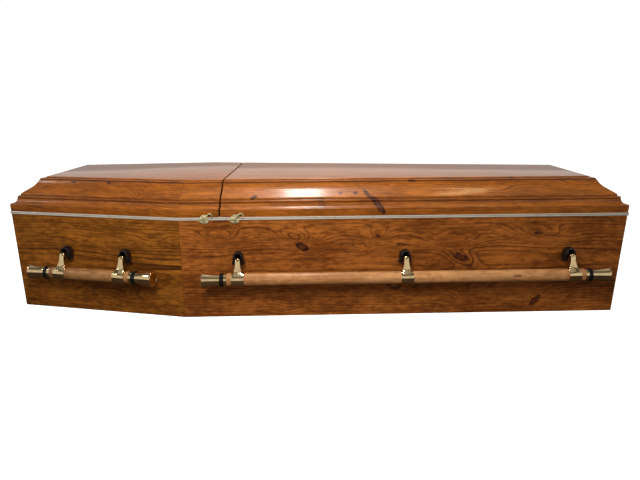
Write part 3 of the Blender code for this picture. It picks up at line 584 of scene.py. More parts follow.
# Lid rails: one moulding, mitred at the six corners and cut square at the split
moulding = {
    "fasciaHeight": 0.022,
    "nosingRadius": 0.0025,
    "lowerCoveRadius": 0.016,
    "beadRadius": 0.004,
    "beadQuirk": 0.0045,
    "noseSetback": 0.0045,
    "noseRise": 0.004,
    "noseRadius": 0.004,
    "slopeAngle": 32.5,
    "slopeLength": 0.029,
    "upperCoveRadius": 0.057,
    "upperCoveEnd": 64.0,
    "ledgeWidth": 0.0025,
    "ledgeRise": 0.0045,
    "edgeRadius": 0.0012,
    "topBandWidth": 0.0146,
    "rebateDepth": 0.0074,
    "shelfWidth": 0.0125,
    "railThickness": 0.018,
    "railFoot": 0.026,
    "splitFromShoulder": 0.128,
    "splitWidth": 0.0055,
    "runMargin": 0.02,
}
splitX = shoulderX + moulding["splitFromShoulder"]
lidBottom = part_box("foot_lid_right_rail")[0].z


def mouldingOutline():
    m = moulding
    nosing = arcPoints((m["nosingRadius"], m["fasciaHeight"]), m["nosingRadius"], 180, 90, 5)
    coveInset = m["nosingRadius"] + m["lowerCoveRadius"]
    coveTop = m["fasciaHeight"] + coveInset
    lowerCove = arcPoints((m["nosingRadius"], coveTop), m["lowerCoveRadius"], -90, 0, 12)[1:]
    beadCentre = (coveInset + m["beadQuirk"], coveTop + m["beadRadius"] * math.sin(math.radians(65)))
    bead = arcPoints(beadCentre, m["beadRadius"], 245, 110, 10)
    noseInset, noseBottom = beadCentre[0] + m["noseSetback"], bead[-1][1]
    nose = arcPoints((noseInset + m["noseRadius"], noseBottom + m["noseRise"]), m["noseRadius"], 180,
                     90 + m["slopeAngle"], 5)
    slope, slopeStart = math.radians(m["slopeAngle"]), nose[-1]
    slopeEnd = (slopeStart[0] + m["slopeLength"] * math.cos(slope),
                slopeStart[1] + m["slopeLength"] * math.sin(slope))
    upperCentre = (slopeEnd[0] - m["upperCoveRadius"] * math.sin(slope),
                   slopeEnd[1] + m["upperCoveRadius"] * math.cos(slope))
    upperCove = arcPoints(upperCentre, m["upperCoveRadius"], m["slopeAngle"] - 90, m["upperCoveEnd"] - 90, 12)
    ledgeInset, ledge = upperCove[-1][0] + m["ledgeWidth"], upperCove[-1][1]
    rebateInset, rebateTop = ledgeInset + m["topBandWidth"], ledge + m["ledgeRise"]
    shelf, shelfInset = rebateTop - m["rebateDepth"], rebateInset + m["shelfWidth"]
    edge = m["edgeRadius"]
    topEdge = arcPoints((ledgeInset + edge, rebateTop - edge), edge, 180, 90, 4)
    underAt = slopeStart[1] - m["railThickness"] / math.cos(slope) - slopeStart[0] * math.tan(slope)
    foot = m["railFoot"]
    outline = [(0.0, 0.0), *nosing, *lowerCove, *bead, (noseInset, noseBottom), *nose, *upperCove,
               (ledgeInset, ledge), *topEdge, (rebateInset, rebateTop), (rebateInset, shelf),
               (shelfInset, shelf), (shelfInset, underAt + shelfInset * math.tan(slope)),
               (foot, underAt + foot * math.tan(slope)), (foot, 0.0)]
    # heights of painted shade in the moulding's creases, how far it spreads and how dark it is
    paintedCreaseShade = [(lidBottom + height, reach, share) for height, reach, share in (
        (beadCentre[1] - m["beadRadius"], 0.0022, 0.55), (noseBottom, 0.0022, 0.65),
        (ledge + 0.0015, 0.0034, 0.85))]
    return outline, rebateInset, paintedCreaseShade


def mitreCut(side, end):
    # the plane that a mitred end is cut on, half the gap back from the corner
    corner = side + end
    bisector = (inwardOf(corner - 1) + inwardOf(corner)).normalized()
    facing = Vector((bisector.y, -bisector.x))
    if facing.dot(alongSide(side)) * (2 * end - 1) < 0:
        facing = -facing
    place = corners[corner % 6] - facing * plan["mitreGap"] / 2
    return (place.x, place.y, 0.0), (facing.x, facing.y, 0.0)


def splitCut(way):
    # way is -1 on the head half of the lid and 1 on the foot half
    return (splitX + way * moulding["splitWidth"] / 2, 0.0, 0.0), (-way, 0.0, 0.0)


def railMesh(name, side, cuts, outline):
    along, inwards = alongSide(side), inwardOf(side)
    start = corners[side] - along * moulding["runMargin"]
    run = along * (sideLength(side) + 2 * moulding["runMargin"])
    shape = bmesh.new()
    profile = []
    for inset, height in outline:
        place = start + inwards * inset
        profile.append(shape.verts.new((place.x, place.y, lidBottom + height)))
    grown = bmesh.ops.extrude_face_region(shape, geom=[shape.faces.new(profile)])["geom"]
    bmesh.ops.translate(shape, verts=vertsIn(grown), vec=(run.x, run.y, 0.0))
    for place, facing in cuts:
        cutOff(shape, place, facing)
    return meshOf(shape, name, 26)


lidRails = {
    "head_lid_end_rail": {"side": headEnd, "cuts": ("mitre", "mitre"), "seed": 4.0},
    "head_lid_right_rail": {"side": rightHead, "cuts": ("mitre", "mitre"), "seed": 6.0, "tone": 0.55,
                            "tilt": (0.0, 0.07), "knots": [
        # the two flat marks at 0.432 up are painted shade: thin dark streaks under the ledge, drawn as knots
        (0.194, 0.425, 0.03, 0.012, 0, 0.01, 0.3, 1.0), (0.325, 0.425, 0.03, 0.012, 0, 0.01, 0.34, 1.0),
        (0.45, 0.395, 0.05, 0.016, 25, 0.02, 0.1, 0.6), (0.455, 0.432, 0.03, 0.004, 0, 0.004, 0.6, 0.8),
        (0.55, 0.432, 0.04, 0.004, 0, 0.004, 0.6, 0.8)]},
    "head_lid_right_shoulder_rail": {"side": rightFoot, "cuts": ("mitre", -1), "seed": 9.0},
    "foot_lid_right_rail": {"side": rightFoot, "cuts": (1, "mitre"), "seed": 14.0, "tone": 0.45, "knots": [
        (0.235, 0.39, 0.034, 0.016, 20, 0.01, 0.34, 1.0), (0.446, 0.376, 0.02, 0.032, 10, 0.006, 0.6, 0.55),
        (0.509, 0.4, 0.024, 0.012, 0, 0.008, 0.32, 0.8), (0.557, 0.4, 0.02, 0.011, 0, 0.008, 0.38, 1.0),
        (0.626, 0.366, 0.015, 0.044, 36, 0.006, 0.75, 1.0), (0.598, 0.392, 0.03, 0.009, -42, 0.004, 0.7, 0.9),
        (0.742, 0.431, 0.022, 0.006, 0, 0.004, 0.6, 1.0), (1.02, 0.396, 0.08, 0.018, 0, 0.026, 0.1, 0.6),
        (1.29, 0.412, 0.1, 0.026, 0, 0.026, 0.03, 0.0)]},
    "foot_lid_end_rail": {"side": footEnd, "cuts": ("mitre", "mitre"), "seed": 18.0},
    "foot_lid_left_rail": {"side": leftFoot, "cuts": ("mitre", 1), "seed": 22.0, "knots": [
        (0.42, 0.395, 0.03, 0.016, 0, 0.008, 0.3, 1.0), (0.9, 0.38, 0.02, 0.03, 15, 0.008, 0.45, 0.9)]},
    "head_lid_left_shoulder_rail": {"side": leftFoot, "cuts": (-1, "mitre"), "seed": 27.0},
    "head_lid_left_rail": {"side": leftHead, "cuts": ("mitre", "mitre"), "seed": 31.0, "knots": [
        (0.26, 0.4, 0.03, 0.014, 0, 0.008, 0.28, 1.0)]},
}
# A lid's varnish is glossier than the case's
lidFinish = {"colours": "lid", "specular": 0.25, "coat": 0.45, "coatRoughness": 0.16}
railGrain = {"plankWidth": 3.0, "plankStart": -1.0, "depth": 0.10, "offset": -0.30, "wander": 0.09,
             "spacing": 0.0085, "blotches": 0.6, "streaks": 1.9}
lidPanel = {
    "seeds": {"head_lid_panel": 41.0, "foot_lid_panel": 47.0},
    "clearance": 0.0015,
    "edge": 0.0016,
    "plankWidth": 0.115,
    "plankStart": -0.3,
}


def buildLid():
    outline, rebateInset, paintedCreaseShade = mouldingOutline()
    for node, look in lidRails.items():
        settings = dict(look)
        side, ends = settings.pop("side"), settings.pop("cuts")
        cuts = [mitreCut(side, end) if ends[end] == "mitre" else splitCut(ends[end]) for end in (0, 1)]
        start = corners[side]
        settings = {"tone": 0.5, **lidFinish, **settings}
        material = pineFinish(node, place=(start.x, start.y, 0.0), turn=sideTurn(side), paintedCreaseShade=paintedCreaseShade,
                              **railGrain, **settings)
        addPiece(node.replace("_rail", "_moulding"), railMesh(node, side, cuts, outline), material, "case",
                 node)
    inset = rebateInset + lidPanel["clearance"]
    headCut, footCut = splitX - moulding["splitWidth"] / 2, splitX + moulding["splitWidth"] / 2
    outlines = {
        "head_lid_panel": [cornerAt(0, inset), cornerAt(1, inset), sideAtX(rightFoot, inset, headCut),
                           sideAtX(leftFoot, inset, headCut), cornerAt(4, inset), cornerAt(5, inset)],
        "foot_lid_panel": [sideAtX(rightFoot, inset, footCut), cornerAt(2, inset), cornerAt(3, inset),
                           sideAtX(leftFoot, inset, footCut)],
    }
    for node, seed in lidPanel["seeds"].items():
        low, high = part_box(node)
        shape = bmesh.new()
        face = shape.faces.new([shape.verts.new((corner.x, corner.y, low.z)) for corner in outlines[node]])
        grown = bmesh.ops.extrude_face_region(shape, geom=[face])["geom"]
        bmesh.ops.translate(shape, verts=vertsIn(grown), vec=(0, 0, high.z - low.z))
        bmesh.ops.bevel(shape, geom=shape.edges[:], offset=lidPanel["edge"], offset_type="OFFSET",
                        segments=3, profile=0.5, affect="EDGES", material=-1)
        material = pineFinish(node, place=(0, 0, 0), turn=0.0, seed=seed, tilt=(math.pi / 2, 0.0),
                              plankWidth=lidPanel["plankWidth"], plankStart=lidPanel["plankStart"],
                              blotches=0.3, lines=0.4, **{**lidFinish, "coat": 0.8})
        addPiece(node.replace("lid_panel", "lid_top"), meshOf(shape, node, 40), material, "case",
                 node)
    print("lid built")


buildLid()

# Metals

def castMetalGroup():
    # worn cast metal: tarnish in patches, fine scratches and a faint casting skin
    group, given, result = newGroup(
        "castMetal", {"Vector": (0, 0, 0), "Bright": (0.7, 0.5, 0.25, 1), "Tarnish": (0.2, 0.12, 0.05, 1),
                      "Amount": 0.4, "Gloss": 0.18},
        {"Color": "Color", "Roughness": "Float", "Height": "Float"})
    cloud = noiseAt(group, given["Vector"], (70.0, 70.0, 70.0), 4.0, 0.6)
    spots = noiseAt(group, given["Vector"], (420.0, 420.0, 420.0), 2.0)
    wear = calc(group, "MULTIPLY", ramped(group, cloud, 0.42, 0.68), given["Amount"])
    wear = calc(group, "MULTIPLY_ADD", ramped(group, spots, 0.6, 0.75), 0.12, wear, clamp=True)
    group.links.new(mixed(group, wear, given["Bright"], given["Tarnish"]), result["Color"])
    group.links.new(calc(group, "MULTIPLY_ADD", wear, 0.25, given["Gloss"]), result["Roughness"])
    group.links.new(calc(group, "MULTIPLY_ADD", spots, 0.4, cloud), result["Height"])
    return group


castMetal = castMetalGroup()
metals = {
    "brass": {"Bright": (0.780, 0.600, 0.330, 1), "Tarnish": (0.400, 0.235, 0.115, 1),
              "Amount": 0.30, "Gloss": 0.09},
    "copper": {"Bright": (0.400, 0.215, 0.130, 1), "Tarnish": (0.170, 0.080, 0.045, 1),
               "Amount": 0.50, "Gloss": 0.24},
    "paleBrass": {"Bright": (0.760, 0.690, 0.410, 1), "Tarnish": (0.130, 0.105, 0.045, 1),
                  "Amount": 0.75, "Gloss": 0.25},
    # near-black, for the disc behind a catch's leaves: painted shade in the gaps between them
    "paintedGapShade": {"Bright": (0.060, 0.044, 0.020, 1), "Tarnish": (0.022, 0.016, 0.009, 1),
                  "Amount": 0.60, "Gloss": 0.40},
    "steel": {"Bright": (0.620, 0.580, 0.500, 1), "Tarnish": (0.250, 0.200, 0.140, 1),
              "Amount": 0.30, "Gloss": 0.16},
    "blackMetal": {"Bright": (0.006, 0.005, 0.005, 1), "Tarnish": (0.012, 0.010, 0.009, 1),
                   "Amount": 0.40, "Gloss": 0.12},
    "blackBand": {"Bright": (0.006, 0.006, 0.006, 1), "Tarnish": (0.012, 0.011, 0.010, 1),
                  "Amount": 0.30, "Gloss": 0.16},
}


def metalFinish(name, metallic=1.0, specular=0.5, coat=0.0):
    material, tree, shader, places = newMaterial(name)
    cast = placeGroup(tree, castMetal, {"Vector": places, **metals[name]})
    setInputs(tree, shader, {"Base Color": cast["Color"], "Roughness": cast["Roughness"],
                             "Metallic": metallic, "Specular IOR Level": specular, "Coat Weight": coat,
                             "Coat Roughness": 0.06,
                             "Normal": bumpOf(tree, cast["Height"], 0.015, 0.0005)})
    return material


brass, copper, paintedGapShade, steel = (metalFinish(name) for name in ("brass", "copper", "paintedGapShade", "steel"))
paleBrass = metalFinish("paleBrass", metallic=0.5)
blackMetal = metalFinish("blackMetal", metallic=0.0, specular=0.25, coat=0.3)
blackBand = metalFinish("blackBand", metallic=0.0, specular=0.2)

# Handles. In a handle's own frame X runs along the panel, +Y points away from it, and the origin is
# on the axis that the arms swing on.
handle = {
    "headMargin": 0.201,
    "margin": 0.183,
    "standoff": 0.019,
    "reach": 0.036,
    "drop": 0.042,
    "barRadius": 0.0195,
    "bareWood": 0.0145,
    "gap": 0.0003,
    "swingClearance": 0.0015,
    "runningClearance": 0.0004,
}
arm = {
    "width": 0.016,
    "thickness": 0.009,
    "knuckleReach": 0.0245,
    "knuckleRise": 0.0155,
    "bend": ((0.0, 0.0, 1.0, 1.5), (0.68, 1.02, 1.0, 1.05), (1.0, 1.0, 0.95, 1.0), (1.27, -0.20, 1.14, 1.03),
             (1.45, -1.14, 1.65, 1.2)),
    "stopGap": 0.0012,
    "collarWidth": 0.039,
    "collarThickness": 0.0027,
    "collarEdge": 0.0009,
    "saddleThickness": 0.0065,
    "saddleProud": 0.002,
    "saddleAngles": (68, 36, 12),
    "saddleShare": 0.99,
    "saddleTaper": 0.10,
    "trunnionRadius": 0.003,
    "trunnionLength": 0.0045,
    "ridge": 0.0009,
    "ridgeWidth": 0.0026,
    "outlineSteps": 36,
    "power": 2.6,
    "stationSteps": 4,
}
ear = {
    "cheek": 0.0105,
    "arch": 0.005,
    "below": 0.009,
    "plate": 0.004,
    "front": 0.0125,
    "profile": ((0.0, 0.74), (0.06, 0.78), (0.22, 0.88), (0.38, 0.96), (0.55, 1.0), (0.70, 0.99),
                (0.82, 0.965), (0.92, 0.92), (0.98, 0.87), (1.0, 0.82)),
    "upperPower": 2.0,
    "lowerPower": 3.2,
    "flutes": 11,
    "fluteDepth": 0.07,
    "steps": 88,
    "knobRadius": 0.004,
    "knobProud": 0.003,
    "knobGirth": 1.15,
}
tip = {
    "length": 0.055,
    "flare": 0.0064,
    "edge": 0.0025,
    "dome": 0.0016,
    "waistSetback": 0.0003,
    "grooveDepth": 0.002,
    "bandWidth": 0.0125,
    "bandProud": 0.0020,
    "bandEdge": 0.0012,
    "ringWidth": 0.0095,
    "ringProud": 0.001,
    "ringCrown": 0.0004,
    "ringEdge": 0.0008,
    "domeShare": 0.86,
    "socketWall": 0.0022,
    "spigotLength": 0.045,
    "steps": 48,
}
swingRadius = (math.hypot(arm["knuckleReach"], arm["knuckleRise"]) + arm["thickness"] / 2
               + handle["swingClearance"])
earWidth = arm["width"] + 2 * ear["cheek"]
earHeight = swingRadius + ear["arch"] + ear["below"]
collarRadius = handle["barRadius"] + handle["gap"] + arm["collarThickness"]
waistRadius = handle["barRadius"] - tip["waistSetback"]
neckRadius = waistRadius - tip["grooveDepth"]
spigotRadius = neckRadius - tip["socketWall"]
ringInner = tip["length"] + tip["bandWidth"] + tip["ringWidth"]
barOverhang = arm["collarWidth"] / 2 + handle["bareWood"] + ringInner
crossways = Matrix.Rotation(math.pi / 2, 4, "Y")     # turns Z to X


def roundedBox(width, height, steps, upperPower, lowerPower):
    # points of a rounded-off rectangle round the origin, with their angles
    points = []
    for step in range(steps):
        angle = 2 * math.pi * (step + 0.5) / steps
        cosine, sine = math.cos(angle), math.sin(angle)
        power = upperPower if sine > 0 else lowerPower
        reach = (abs(cosine) ** power + abs(sine) ** power) ** (-1 / power)
        points.append((width / 2 * reach * cosine, height / 2 * reach * sine, angle))
    return points


def earMesh():
    middle = earHeight / 2 - ear["below"]
    panel = -handle["standoff"]
    back = panel + handle["gap"]
    rings = []
    for depth, share in ear["profile"]:
        outline = roundedBox(earWidth * share, earHeight * share, ear["steps"], ear["upperPower"],
                             ear["lowerPower"])
        points = []
        for x, z, angle in outline:
            up = max(0.0, min(1.0, math.sin(angle) * 3 + 0.6))
            flute = 1 - ear["fluteDepth"] * up * (0.5 - 0.5 * math.cos(2 * ear["flutes"] * angle))
            points.append((x * flute, back + (ear["front"] - back) * depth, middle + z * flute))
        rings.append(points)
    hood = meshOf(loftedShape(rings), "hood")
    slot = bmesh.new()
    addCylinder(slot, swingRadius, arm["width"] + 2 * handle["runningClearance"], 64, crossways)
    cutOff(slot, (0, panel + ear["plate"], 0), (0, -1, 0))
    boreLength = arm["width"] + 2 * (arm["trunnionLength"] + handle["runningClearance"])
    bore = cylinderMesh("bore", arm["trunnionRadius"] + handle["runningClearance"], boreLength, 24, crossways)
    carved = carvedMesh("ear", hood, [("DIFFERENCE", meshOf(slot, "slot")), ("DIFFERENCE", bore)])
    # round knobs at the lower corners, where the axis comes out
    shape = bmesh.new()
    shape.from_mesh(carved)
    for way in (-1, 1):
        place = Matrix.Translation((way * (earWidth / 2 - ear["knobRadius"] + ear["knobProud"]), 0, 0))
        useSecondLook(bmesh.ops.create_uvsphere(
            shape, u_segments=24, v_segments=14, radius=ear["knobRadius"],
            matrix=place @ Matrix.Diagonal((1.0, ear["knobGirth"], ear["knobGirth"], 1.0)) @ crossways))
    return meshOf(shape, "ear", 38)


def smoothStations(stations, steps):
    # a smooth curve through the stations
    dense = []
    for index in range(len(stations) - 1):
        before = Vector(stations[max(index - 1, 0)])
        first, second = Vector(stations[index]), Vector(stations[index + 1])
        after = Vector(stations[min(index + 2, len(stations) - 1)])
        for step in range(steps):
            t = step / steps
            dense.append(0.5 * (2 * first + (second - before) * t
                                + (2 * before - 5 * first + 4 * second - after) * t * t
                                + (3 * first - before - 3 * second + after) * t ** 3))
    dense.append(Vector(stations[-1]))
    return dense


def armMesh():
    reach, drop = handle["reach"], handle["drop"]
    width, thickness, collarWidth = arm["width"], arm["thickness"], arm["collarWidth"]
    rise, out = arm["knuckleRise"], arm["knuckleReach"]
    # middle line from the heel over the bend to the front of the collar: (out, up, width, thickness), where
    # the bend is given in shares of its reach, its rise, the arm's width and its thickness
    stations = [
        (arm["stopGap"] + ear["plate"] - handle["standoff"], -arm["trunnionRadius"], width * 0.85,
         thickness * 0.7),
        *[(out * a, rise * b, width * c, thickness * d) for a, b, c, d in arm["bend"]],
    ]
    middle = collarRadius + arm["saddleProud"] - arm["saddleThickness"] / 2
    for number, angle in enumerate(arm["saddleAngles"]):
        turn = math.radians(angle)
        narrowing = (len(arm["saddleAngles"]) - 1 - number) * arm["saddleTaper"]
        stations.append((reach + middle * math.cos(turn), -drop + middle * math.sin(turn),
                         collarWidth * (arm["saddleShare"] - narrowing), arm["saddleThickness"]))
    dense = smoothStations(stations, arm["stationSteps"])
    rings = []
    for index, station in enumerate(dense):
        before, after = dense[max(index - 1, 0)], dense[min(index + 1, len(dense) - 1)]
        along = Vector((after[0] - before[0], after[1] - before[1])).normalized()
        across = Vector((-along.y, along.x))
        ring = []
        outline = roundedBox(station[2], station[3], arm["outlineSteps"], arm["power"], arm["power"])
        for x, t, angle in outline:
            if t > 0:
                t += arm["ridge"] * math.exp(-(x / arm["ridgeWidth"]) ** 2)
            ring.append((x, station[0] + across.x * t, station[1] + across.y * t))
        rings.append(ring)
    body = meshOf(loftedShape(rings), "armBody")
    toBar = Matrix.Translation((0.0, reach, -drop)) @ crossways
    half, edge = collarWidth / 2, arm["collarEdge"]
    collar = turnedShape([(0.0, half), (collarRadius - edge, half),
                          *rimPoints(collarRadius, half, -half, edge, 3), (0.0, -half)], 64)
    collar.transform(toBar)
    hole = cylinderMesh("hole", handle["barRadius"] + handle["gap"], collarWidth * 2, 64, toBar)
    pins = cylinderMesh("pins", arm["trunnionRadius"], width + 2 * arm["trunnionLength"], 24, crossways)
    return carvedMesh("arm", body, [("UNION", meshOf(collar, "collar")), ("UNION", pins),
                                    ("DIFFERENCE", hole)])


def tipMesh():
    flare = []
    for step in range(13):
        share = step / 12
        flare.append((waistRadius + tip["flare"] * (1 - share) ** 1.6,
                      -tip["edge"] - (tip["length"] - tip["edge"]) * share))
    rimRadius = waistRadius + tip["flare"]
    # a shallow dome inside a rounded rim
    dome = [(rimRadius * tip["domeShare"] * share, -tip["dome"] * share ** 2 * 0.6)
            for share in (0.0, 0.25, 0.5, 0.75, 1.0)]
    rim = arcPoints((rimRadius - tip["edge"], -tip["edge"]), tip["edge"], 100, 0, 5)
    ringOuter = tip["length"] + tip["bandWidth"]
    ringRadius, soften = handle["barRadius"] + tip["ringProud"], tip["ringEdge"]
    socketRadius, socketEnd = spigotRadius + handle["gap"], tip["spigotLength"] + handle["gap"] - ringInner
    profile = [*dome, *rim, *flare[1:], (waistRadius, -tip["length"]), (neckRadius, -tip["length"]),
               (neckRadius, -ringOuter), (ringRadius - soften, -ringOuter), (ringRadius, -ringOuter - soften),
               (ringRadius + tip["ringCrown"], (-ringOuter - ringInner) / 2),
               (ringRadius, -ringInner + soften), (ringRadius - soften, -ringInner),
               (socketRadius, -ringInner), (socketRadius, socketEnd), (0.0, socketEnd)]
    mesh = meshOf(turnedShape(profile, tip["steps"]), "tip", 35)
    shape = bmesh.new()
    shape.from_mesh(mesh)
    for face in shape.faces:
        centre = face.calc_center_median()
        if centre.z > -tip["dome"] and math.hypot(centre.x, centre.y) < rimRadius * tip["domeShare"]:
            face.material_index = 1
    return meshOf(shape, "tip", 35)


def bandMesh():
    top, bottom = -tip["length"] - handle["gap"], -tip["length"] - tip["bandWidth"] + handle["gap"]
    inner, outer = neckRadius + handle["gap"], handle["barRadius"] + tip["bandProud"]
    edge = tip["bandEdge"]
    profile = [(inner, top), (outer - edge, top), *rimPoints(outer, top, bottom, edge, 4), (inner, bottom)]
    return meshOf(turnedShape(profile, tip["steps"], closed=True), "band", 35)


def barMesh(halfLength):
    shoulder = halfLength - ringInner - handle["gap"]
    spigot = shoulder + tip["spigotLength"]
    radius = handle["barRadius"]
    profile = [(0.0, spigot), (spigotRadius, spigot), (spigotRadius, shoulder), (radius, shoulder),
               (radius, -shoulder), (spigotRadius, -shoulder), (spigotRadius, -spigot), (0.0, -spigot)]
    return meshOf(turnedShape(profile, tip["steps"]), "bar", 35)


# how the figure of a turned bar shows, and what differs from bar to bar
barGrain = {"plankWidth": 3.0, "plankStart": -1.0, "depth": 0.03, "offset": -0.52, "wander": 0.02,
            "ripple": 0.002, "spacing": 0.0035, "lines": 0.55, "tone": 0.5, "blotches": 0.9, "streaks": 0.9,
            "fibres": 0.9, "specular": 0.3, "coat": 0.2}
barLooks = {
    "right_short_handle": {"side": rightHead, "colours": "shortBar", "seed": 2.0},
    "right_long_handle": {"side": rightFoot, "colours": "bar", "seed": 5.0,
                          "knots": [(-0.345, 0.006, 0.03, 0.006, 0, 0.004, 0.6, 0.75)]},
    "left_short_handle": {"side": leftHead, "colours": "shortBar", "seed": 11.0},
    "left_long_handle": {"side": leftFoot, "colours": "bar", "seed": 13.0},
}


def buildHandles():
    earModel, armModel, tipModel, bandModel = earMesh(), armMesh(), tipMesh(), bandMesh()
    for joint in frame["record"]["behaviour"]["joints"]:
        name = joint["child"]
        look = barLooks[name]
        alongPanel = Vector(joint["axis"]).normalized()
        outward = Vector((0, 0, 1)).cross(alongPanel)
        place = Matrix((alongPanel, outward, Vector((0, 0, 1)))).transposed().to_4x4()
        place.translation = Vector(joint["pos_m"])
        headward = 1 if alongPanel.x < 0 else -1
        length = sideLength(look["side"])
        if "short" in name:
            armPlaces = [handle["headMargin"], length - handle["margin"]]
        else:
            armPlaces = [handle["margin"], length / 2, length - handle["margin"]]
        middle = (armPlaces[0] + armPlaces[-1]) / 2
        for number, armPlace in enumerate(armPlaces, start=1):
            step = place @ Matrix.Translation((headward * (middle - armPlace), 0, 0))
            addPiece(f"{name}_hood_{number}", earModel.copy(), [blackMetal, steel], "case",
                     f"{name}_ear_{number}", step)
            addPiece(f"{name}_casting_{number}", armModel.copy(), brass, name,
                     f"{name}_arm_{number}", step)
        halfLength = (armPlaces[-1] - armPlaces[0]) / 2 + barOverhang
        barLine = place @ Matrix.Translation((0, handle["reach"], -handle["drop"]))
        settings = {key: value for key, value in look.items() if key != "side"}
        material = pineFinish(name + "_bar", place=tuple(barLine.translation),
                              turn=math.atan2(alongPanel.y, alongPanel.x), **settings, **barGrain)
        addPiece(name + "_round_bar", barMesh(halfLength), material, name, name + "_bar",
                 barLine @ crossways)
        for number, way in ((1, headward), (2, -headward)):
            outwards = Matrix.Rotation(way * math.pi / 2, 4, "Y")
            end = barLine @ Matrix.Translation((way * halfLength, 0, 0)) @ outwards
            addPiece(f"{name}_ferrule_{number}", tipModel.copy(), [brass, copper], name,
                     f"{name}_tip_{number}", end)
            addPiece(f"{name}_black_ring_{number}", bandModel.copy(), blackBand, name,
                     f"{name}_band_{number}", end)
    print("handles built")


buildHandles()

# Catches beside the split: a cast spray of leaves with a curled lever
catch = {
    "spacing": 0.096,
    "shift": 0.001,
    "radius": 0.0160,
    "leafLength": 0.0140,
    "leafWidth": 0.0064,
    "leafReach": 0.58,
    "leafRise": 0.0021,
    "leaves": 9,
    "leafLean": -14,
    "shortLeaf": 0.9,
    "bossShare": 0.52,
    "backing": 0.0142,
    "backingSetback": 0.0006,
    "backingThickness": 0.001,
    "plateBack": 0.0031,
    "plateThickness": 0.0035,
    "footWidth": 0.010,
    "footHeight": 0.007,
    "footEdge": 0.0008,
    "leverRadius": 0.0023,
    "lever": {"start": (0.2, 0.1), "centre": (-1.1, 0.62), "bend": 0.48, "angles": (60, 235)},
    "scroll": {"start": (0.3, -0.2), "centre": (0.75, -0.25), "bend": 0.30, "angles": (130, -110)},
    "scrollSetback": 0.001,
}


def addLeaf(shape, angle, size, front):
    # a pointed leaf with a rib, from the middle of the catch outwards
    leaf = bmesh.ops.create_uvsphere(shape, u_segments=12, v_segments=8, radius=1.0)["verts"]
    for vert in leaf:
        taper = 1.0 - 0.45 * max(0.0, vert.co.x)
        vert.co.y *= taper
        vert.co.z = vert.co.z * taper + 0.25 * math.exp(-(vert.co.y * 5) ** 2) * (vert.co.z > 0)
    stretch = Matrix.Diagonal((catch["leafLength"] / 2 * size, catch["leafWidth"] / 2 * size,
                               catch["leafRise"], 1.0))
    outwards = Matrix.Translation((catch["radius"] * catch["leafReach"] * size, 0, 0))
    lean = Matrix.Rotation(math.radians(catch["leafLean"]), 4, "Y")
    turn = Matrix.Rotation(angle, 4, "Z")
    upright = Matrix.Translation((0, front, 0)) @ Matrix.Rotation(-math.pi / 2, 4, "X")
    bmesh.ops.transform(shape, verts=leaf, matrix=upright @ turn @ outwards @ lean @ stretch)


def addTube(shape, path, radius):
    # a round bar along a path, thinner towards its end
    endShare, steps = 0.6, 10
    rings = []
    for index, point in enumerate(path):
        before, after = Vector(path[max(index - 1, 0)]), Vector(path[min(index + 1, len(path) - 1)])
        along = (after - before).normalized()
        sideways = along.cross(Vector((0, 1, 0))).normalized()
        upwards = sideways.cross(along)
        size = radius * (1 - (1 - endShare) * index / (len(path) - 1))
        rings.append([Vector(point) + (sideways * math.cos(angle) + upwards * math.sin(angle)) * size
                      for angle in (2 * math.pi * step / steps for step in range(steps))])
    tube = bpy.data.meshes.new("tube")
    tubeShape = loftedShape(rings)
    tubeShape.to_mesh(tube)
    tubeShape.free()
    shape.from_mesh(tube)


def catchMesh():
    shape = bmesh.new()
    size = catch["radius"]
    front = catch["plateBack"] + catch["plateThickness"] / 2
    boss = bmesh.ops.create_uvsphere(shape, u_segments=20, v_segments=12, radius=1.0)["verts"]
    bmesh.ops.transform(shape, verts=boss, matrix=Matrix.Translation((0, front, 0))
                        @ Matrix.Diagonal((size * catch["bossShare"], catch["plateThickness"] / 2 + 0.0004,
                                           size * catch["bossShare"], 1.0)))
    for leaf in range(catch["leaves"]):
        angle = 2 * math.pi * (leaf + 0.25) / catch["leaves"]
        addLeaf(shape, angle, 1.0 if leaf % 2 else catch["shortLeaf"], front)
    depth = front - handle["gap"]
    foot = bmesh.ops.create_cube(shape, size=1.0)
    low = -edging["beadRadius"] * 2 - handle["gap"] * 2 - catch["footHeight"] / 2
    block = Matrix.Diagonal((catch["footWidth"], depth, catch["footHeight"], 1.0))
    bmesh.ops.transform(shape, verts=foot["verts"],
                        matrix=Matrix.Translation((0, handle["gap"] + depth / 2, low)) @ block)
    bmesh.ops.bevel(shape, geom=edgesIn({edge for vert in foot["verts"] for edge in vert.link_edges}),
                    offset=catch["footEdge"], offset_type="OFFSET", segments=2, profile=0.5,
                    affect="EDGES", material=-1)
    reach = front + catch["leverRadius"]
    for curl, radius, depth in (
            (catch["lever"], catch["leverRadius"], reach),
            (catch["scroll"], catch["leverRadius"] * 0.8, reach - catch["scrollSetback"])):
        startX, startZ = curl["start"]
        centre = (curl["centre"][0] * size, curl["centre"][1] * size)
        path = [(startX * size, depth, startZ * size)]
        path += [(x, depth, z) for x, z in arcPoints(centre, curl["bend"] * size, *curl["angles"], 12)]
        addTube(shape, path, radius)
    # a near-black disc behind the leaves: painted shade in the gaps between them
    flat = Matrix.Translation((0, catch["plateBack"] + catch["backingSetback"], 0)) @ Matrix.Rotation(
        math.pi / 2, 4, "X")
    useSecondLook(addCylinder(shape, catch["backing"], catch["backingThickness"], 24, flat))
    return meshOf(shape, "catch", 40)


